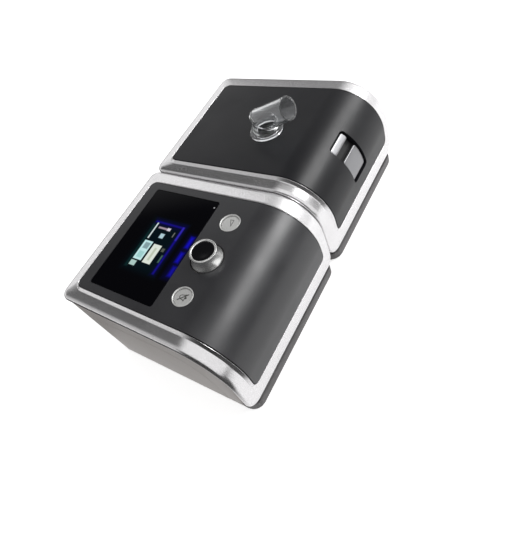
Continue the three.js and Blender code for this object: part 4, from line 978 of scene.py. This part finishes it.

# %% [markdown]
# The picture on the screen is a list in millimetres from the dial's axis: left, right, front and
# back of each box, how soft it is, and its colour of light. Later ones lie over earlier ones. The
# blue boxes in front of the screen are the light guide's glow round the dial, and the last one is
# a small lit dot in the corner.

# %% What the screen shows
screen_items = (
    (-34, 26, 41, 81, 14, (0.0, 0.004, 0.006)),
    (-33, 26.5, 40, 45, 7, (0.001, 0.001, 0.035)),
    (20, 27, 41, 79, 7, (0.001, 0.001, 0.03)),
    (-32, 24, 41.9, 43.6, 2.8, (0.008, 0.004, 0.26)),
    (22.8, 24.3, 43, 78, 2.8, (0.008, 0.004, 0.24)),
    (8, 24.4, 42, 43.9, 1.8, (0.03, 0.02, 0.42)),
    (-33, 20, 76.5, 79.5, 3, (0.002, 0.018, 0.018)),
    (2.5, 22.4, 73.8, 75.4, 0.7, (0.62, 0.72, 0.72)),
    (-22.9, 0, 65.3, 75.8, 0.7, (0.52, 0.78, 0.78)),
    (-20.5, -13, 67.2, 73.6, 1.4, (0.34, 0.62, 0.6)),
    (-9.5, -2.2, 67, 73.4, 1.6, (0.22, 0.34, 0.36)),
    (-24.1, -1.6, 52.8, 62.8, 0.7, (0.7, 0.76, 0.68)),
    (-20.5, -5.5, 56.4, 59, 1.6, (0.5, 0.56, 0.44)),
    (-30.4, -24.6, 68.8, 75.8, 0.8, (0.4, 0.58, 0.54)),
    (6.1, 11.6, 58.3, 63.3, 1.2, (0.42, 0.6, 0.66)),
    (16.6, 18.6, 56.3, 70.7, 1.4, (0.38, 0.3, 0.36)),
    (16.2, 19.4, 55.8, 59.6, 1.4, (0.7, 0.66, 0.74)),
    (10.6, 16.2, 48.2, 49.4, 0.9, (0.16, 0.17, 0.15)),
    (-7.6, -3.6, 47.3, 50.6, 1.2, (0.09, 0.1, 0.08)),
    (-19.5, -11, 44.8, 46.4, 1.6, (0.06, 0.14, 0.1)),
    (-32, 18, 21, 31, 9, (0.001, 0.001, 0.03)),
    (4.3, 16.3, 25.4, 28.2, 5, (0.006, 0.004, 0.55)),
    (-13, -2.4, 25.6, 28.4, 5, (0.006, 0.004, 0.5)),
    (-28.5, -18.4, 23.8, 26.8, 5, (0.006, 0.004, 0.36)),
    (54, 55.2, 24.8, 26, 0.8, (0.5, 0.5, 0.52)),
)
print("lit items", len(screen_items))

# %% [markdown]
# A Mapping node turns Object coordinates into those millimetres, with X to the right and Y to the
# back along the slope. Each box is mixed over the light so far, and the result is the emission of
# the window, whose own finish stays gloss black.

# %% The display window
window_lift = 2.6 * mm


def lit_window():
    material = finish("lit window", (0.002, 0.002, 0.003), 0.07, scale=800, depth=0.001,
                      gloss_spread=0.02, specular=0.08)
    tree = material.node_tree
    mapping = tree.nodes.new("ShaderNodeMapping")
    mapping.vector_type = "TEXTURE"
    place = fill(tree, mapping, {
        "Vector": coordinates(tree), "Location": (dial_x, *skin(control_s, window_lift)),
        "Rotation": (slope, 0, 0), "Scale": (mm, mm, mm)})["Vector"]
    light = (0, 0, 0, 1)
    for left, right, front, back, softness, color in screen_items:
        box = put_group(tree, lit_box, place, {
            "Centre": ((left + right) / 2, (front + back) / 2, 0),
            "Half size": ((right - left) / 2, (back - front) / 2, 1),
            "Soft": softness})
        light = mixed(tree, box["Mask"], light, (*color, 1))
    fill(tree, tree.nodes["Principled BSDF"], {"Emission Color": light, "Emission Strength": 1.0})
    return material


dress(nodes["display_window"], lit_window())
print("lit window on", nodes["display_window"].name)

# %% [markdown]
# The lid's liner is black where it shows through the latch's slot, and pale round the hub in which
# the clear elbow sits, so that the elbow doesn't look into a black hole. Two pieces would need a
# seam that the real liner lacks, so the box group marks the hub on the one piece.

# %% The lid's liner and the elbow's ring
hub_half, hub_depth, hub_soft = 17 * mm, -7 * mm, 1 * mm
hub_tone = (0.5, 0.5, 0.5, 1)

hub_pale = finish("liner with a pale hub", (0.012, 0.012, 0.013), 0.6, depth=0.03)
tree = hub_pale.node_tree
shader = tree.nodes["Principled BSDF"]
dark_tint = shader.inputs["Base Color"].links[0].from_socket
hub = put_group(tree, lit_box, coordinates(tree), {
    "Centre": (elbow_x, *skin(elbow_s, hub_depth)),
    "Half size": (hub_half, hub_half, 1),
    "Soft": hub_soft})
fill(tree, shader, {"Base Color": mixed(tree, hub["Mask"], dark_tint, hub_tone)})
dress(nodes["lid_liner"], hub_pale)
dress(nodes["elbow_ring"], bone)
print("pale hub on", nodes["lid_liner"].name)

# %% [markdown]
# Stage: a white floor that keeps a soft shadow. A little light of its own, only for the camera and
# for clear pieces, lifts it to white without putting more light on the machine. In reflections it
# is bright only right of the machine's left side and in front of its back, and nearly black beyond
# them, so that the silver edges there mirror something dark and stand out against the white.

# %% Floor
def ray_switch(tree, *kinds):
    """1 for rays of any of these kinds, else 0."""
    path = tree.nodes.new("ShaderNodeLightPath")
    return greatest(tree, *[path.outputs[kind] for kind in kinds])


floor_size = 8
floor_tone, floor_glow, floor_gleam = 0.8, 0.62, 0.42

bpy.ops.mesh.primitive_plane_add(size=floor_size, location=(0, 0, 0))
floor = bpy.context.object
floor.name = "floor"
floor_finish, tree, shader = new_material("white floor")
floor_x, floor_y, _ = axes_of(tree, coordinates(tree))
open_side = product(tree, remapped(tree, floor_x, (0.04, 1), (-0.21, -0.18)),
                    remapped(tree, floor_y, (1, 0.1), (0.11, 0.14)))
in_mirror = ray_switch(tree, "Is Glossy Ray")
not_in_mirror = arithmetic(tree, "SUBTRACT", 1, in_mirror)
seen = product(tree, ray_switch(tree, "Is Camera Ray", "Is Transmission Ray"), floor_glow)
mirrored = product(tree, in_mirror, floor_gleam, open_side)
fill(tree, shader, {
    "Base Color": product(tree, greatest(tree, not_in_mirror, open_side), floor_tone),
    "Roughness": 0.9,
    "Specular IOR Level": 0,
    "Emission Color": (1, 1, 1, 1),
    "Emission Strength": greatest(tree, seen, mirrored)})
dress(floor, floor_finish)
print("floor", floor_size, "m wide")

# %% [markdown]
# The silver and the dark gloss show their surroundings, so the world is painted as a studio, by the
# direction in which a reflected ray leaves. X is to the right, Y to the back and Z up. Panels of
# light on stands would do the same, but they would also light the machine from every side, and this
# room shows in reflections only. Each patch of it is a product of soft steps.

# %% The studio's walls and ceiling
world = bpy.data.worlds.new("studio")
bpy.context.scene.world = world
world.use_nodes = True
tree = world.node_tree
to_right, to_back, upwards = axes_of(tree, coordinates(tree, "Generated"))


def step(source, places, values):
    return remapped(tree, source, values, places)


left_ceiling = step(to_right, (-0.38, -0.14), (0.55, 0.05))
overhead = product(tree, step(to_back, (0.12, 0.3), (0.95, 0)),
                   step(to_right, (0.16, 0.26), (1, 0)))
ceiling = greatest(tree, left_ceiling, overhead)

wall_lean = 0.35
leaning = arithmetic(tree, "SUBTRACT", upwards, product(tree, to_right, wall_lean))
white_wall = step(leaning, (0.5, 0.56), (1, 0))
grey_right = product(tree, step(to_right, (0.7, 0.76), (0, 0.8)),
                     step(to_back, (0.0, 0.2), (0, 1)))
right_side = arithmetic(tree, "SUBTRACT", 1, grey_right)
front_side = step(to_back, (-0.88, -0.78), (0, 1))
walls = product(tree, white_wall, right_side, front_side)
print("world nodes so far", len(tree.nodes))

# %% [markdown]
# The noses of both units carry one bright band along their length. It is the mirror of a long lamp,
# so it is a strip of the world between two heights, measured as an angle above the front, that
# grows brighter to the right and then ends. Behind the machine and far to the left the room is
# dark, and that draws the dark line along the outer edges of the frames.

# %% The bright band and the dark parts
height = arithmetic(tree, "ARCTAN2", upwards, product(tree, to_back, -1))
band = product(
    tree,
    step(height, (0.58, 0.66), (0, 2.6)), step(height, (1.02, 1.1), (1, 0)),
    step(to_right, (0.25, 0.37), (0, 1)), step(to_right, (0.48, 0.6), (1, 1.9)),
    step(to_right, (0.74, 0.82), (1, 0)))
dark_side = product(tree, step(to_right, (-0.7, -0.6), (1, 0)),
                    step(to_back, (0.25, 0.4), (1, 0)))
dark_back = product(tree, step(to_back, (0.75, 0.85), (0, 1)),
                    step(upwards, (0.05, 0.16), (0.9, 0)))
lit = arithmetic(tree, "SUBTRACT", 1, greatest(tree, dark_side, dark_back))
studio = product(tree, greatest(tree, walls, ceiling, band), lit)
print("world nodes so far", len(tree.nodes))

# %% [markdown]
# Three kinds of ray see three worlds: reflections see the studio, the camera and clear pieces see
# white, and everything else gets plain grey light from all round.

# %% World
plain_light = (0.62, 0.62, 0.62, 1)
white = (1, 1, 1, 1)

room = mixed(tree, ray_switch(tree, "Is Glossy Ray"), plain_light, studio)
surroundings = mixed(tree, ray_switch(tree, "Is Camera Ray", "Is Transmission Ray"), room, white)
fill(tree, tree.nodes["Background"], {"Color": surroundings})
print("world nodes", len(tree.nodes))

# %% [markdown]
# One long softbox to the front and right adds the shadow and the soft light on the front. An area
# lamp shines along its own minus Z, so its Z axis is set to point back from the aim to the lamp,
# and its X axis, the long side, lies as near to the long axis as that allows.

# %% Lamp
def softbox(name, place, aim, power, size, long_axis):
    lamp = bpy.data.lights.new(name, "AREA")
    lamp.shape = "RECTANGLE"
    lamp.size, lamp.size_y = size
    lamp.energy = power
    obj = bpy.data.objects.new(name, lamp)
    bpy.context.scene.collection.objects.link(obj)
    back = (Vector(place) - Vector(aim)).normalized()
    across = (Vector(long_axis) - back * Vector(long_axis).dot(back)).normalized()
    turn = Matrix((across, back.cross(across), back)).transposed().to_4x4()
    obj.matrix_world = Matrix.Translation(place) @ turn
    return obj


lamp = softbox("front softbox", place=(0.52, -0.57, 0.72), aim=(0, -0.05, 0.08), power=4.5,
               size=(0.85, 0.36), long_axis=(0.92, 0.3, -0.25))
print("lamp", lamp.name, lamp.data.energy, "W")

# %% [markdown]
# Camera: found by fitting the edges of both units in the photograph. A camera that is set by eye
# would put them a few pixels off. Its three axes are written as rows. Focal length and image centre
# are in pixels of the picture, and the lens and the shift follow from them.

# %% Camera
picture = (530, 533)
focal_length, image_centre = 446.05, (190.17, 274.34)
sensor = 36

camera = bpy.data.cameras.new("camera")
camera.sensor_fit = "HORIZONTAL"
camera.sensor_width = sensor
camera.lens = focal_length / picture[0] * sensor
camera.shift_x = (picture[0] / 2 - image_centre[0]) / picture[0]
camera.shift_y = (image_centre[1] - picture[1] / 2) / picture[0]
eye = bpy.data.objects.new("camera", camera)
bpy.context.scene.collection.objects.link(eye)
right = Vector((0.51333, -0.74737, -0.42181))
down = Vector((-0.79034, -0.22016, -0.57174))
ahead = Vector((0.33444, 0.62687, -0.70369))
axes = Matrix((right, -down, -ahead)).transposed().to_4x4()
eye.matrix_world = Matrix.Translation((-0.2362, -0.27675, 0.3878)) @ axes
bpy.context.scene.camera = eye
bpy.context.scene.view_settings.view_transform = "Standard"
print("lens", round(camera.lens, 3), "mm")
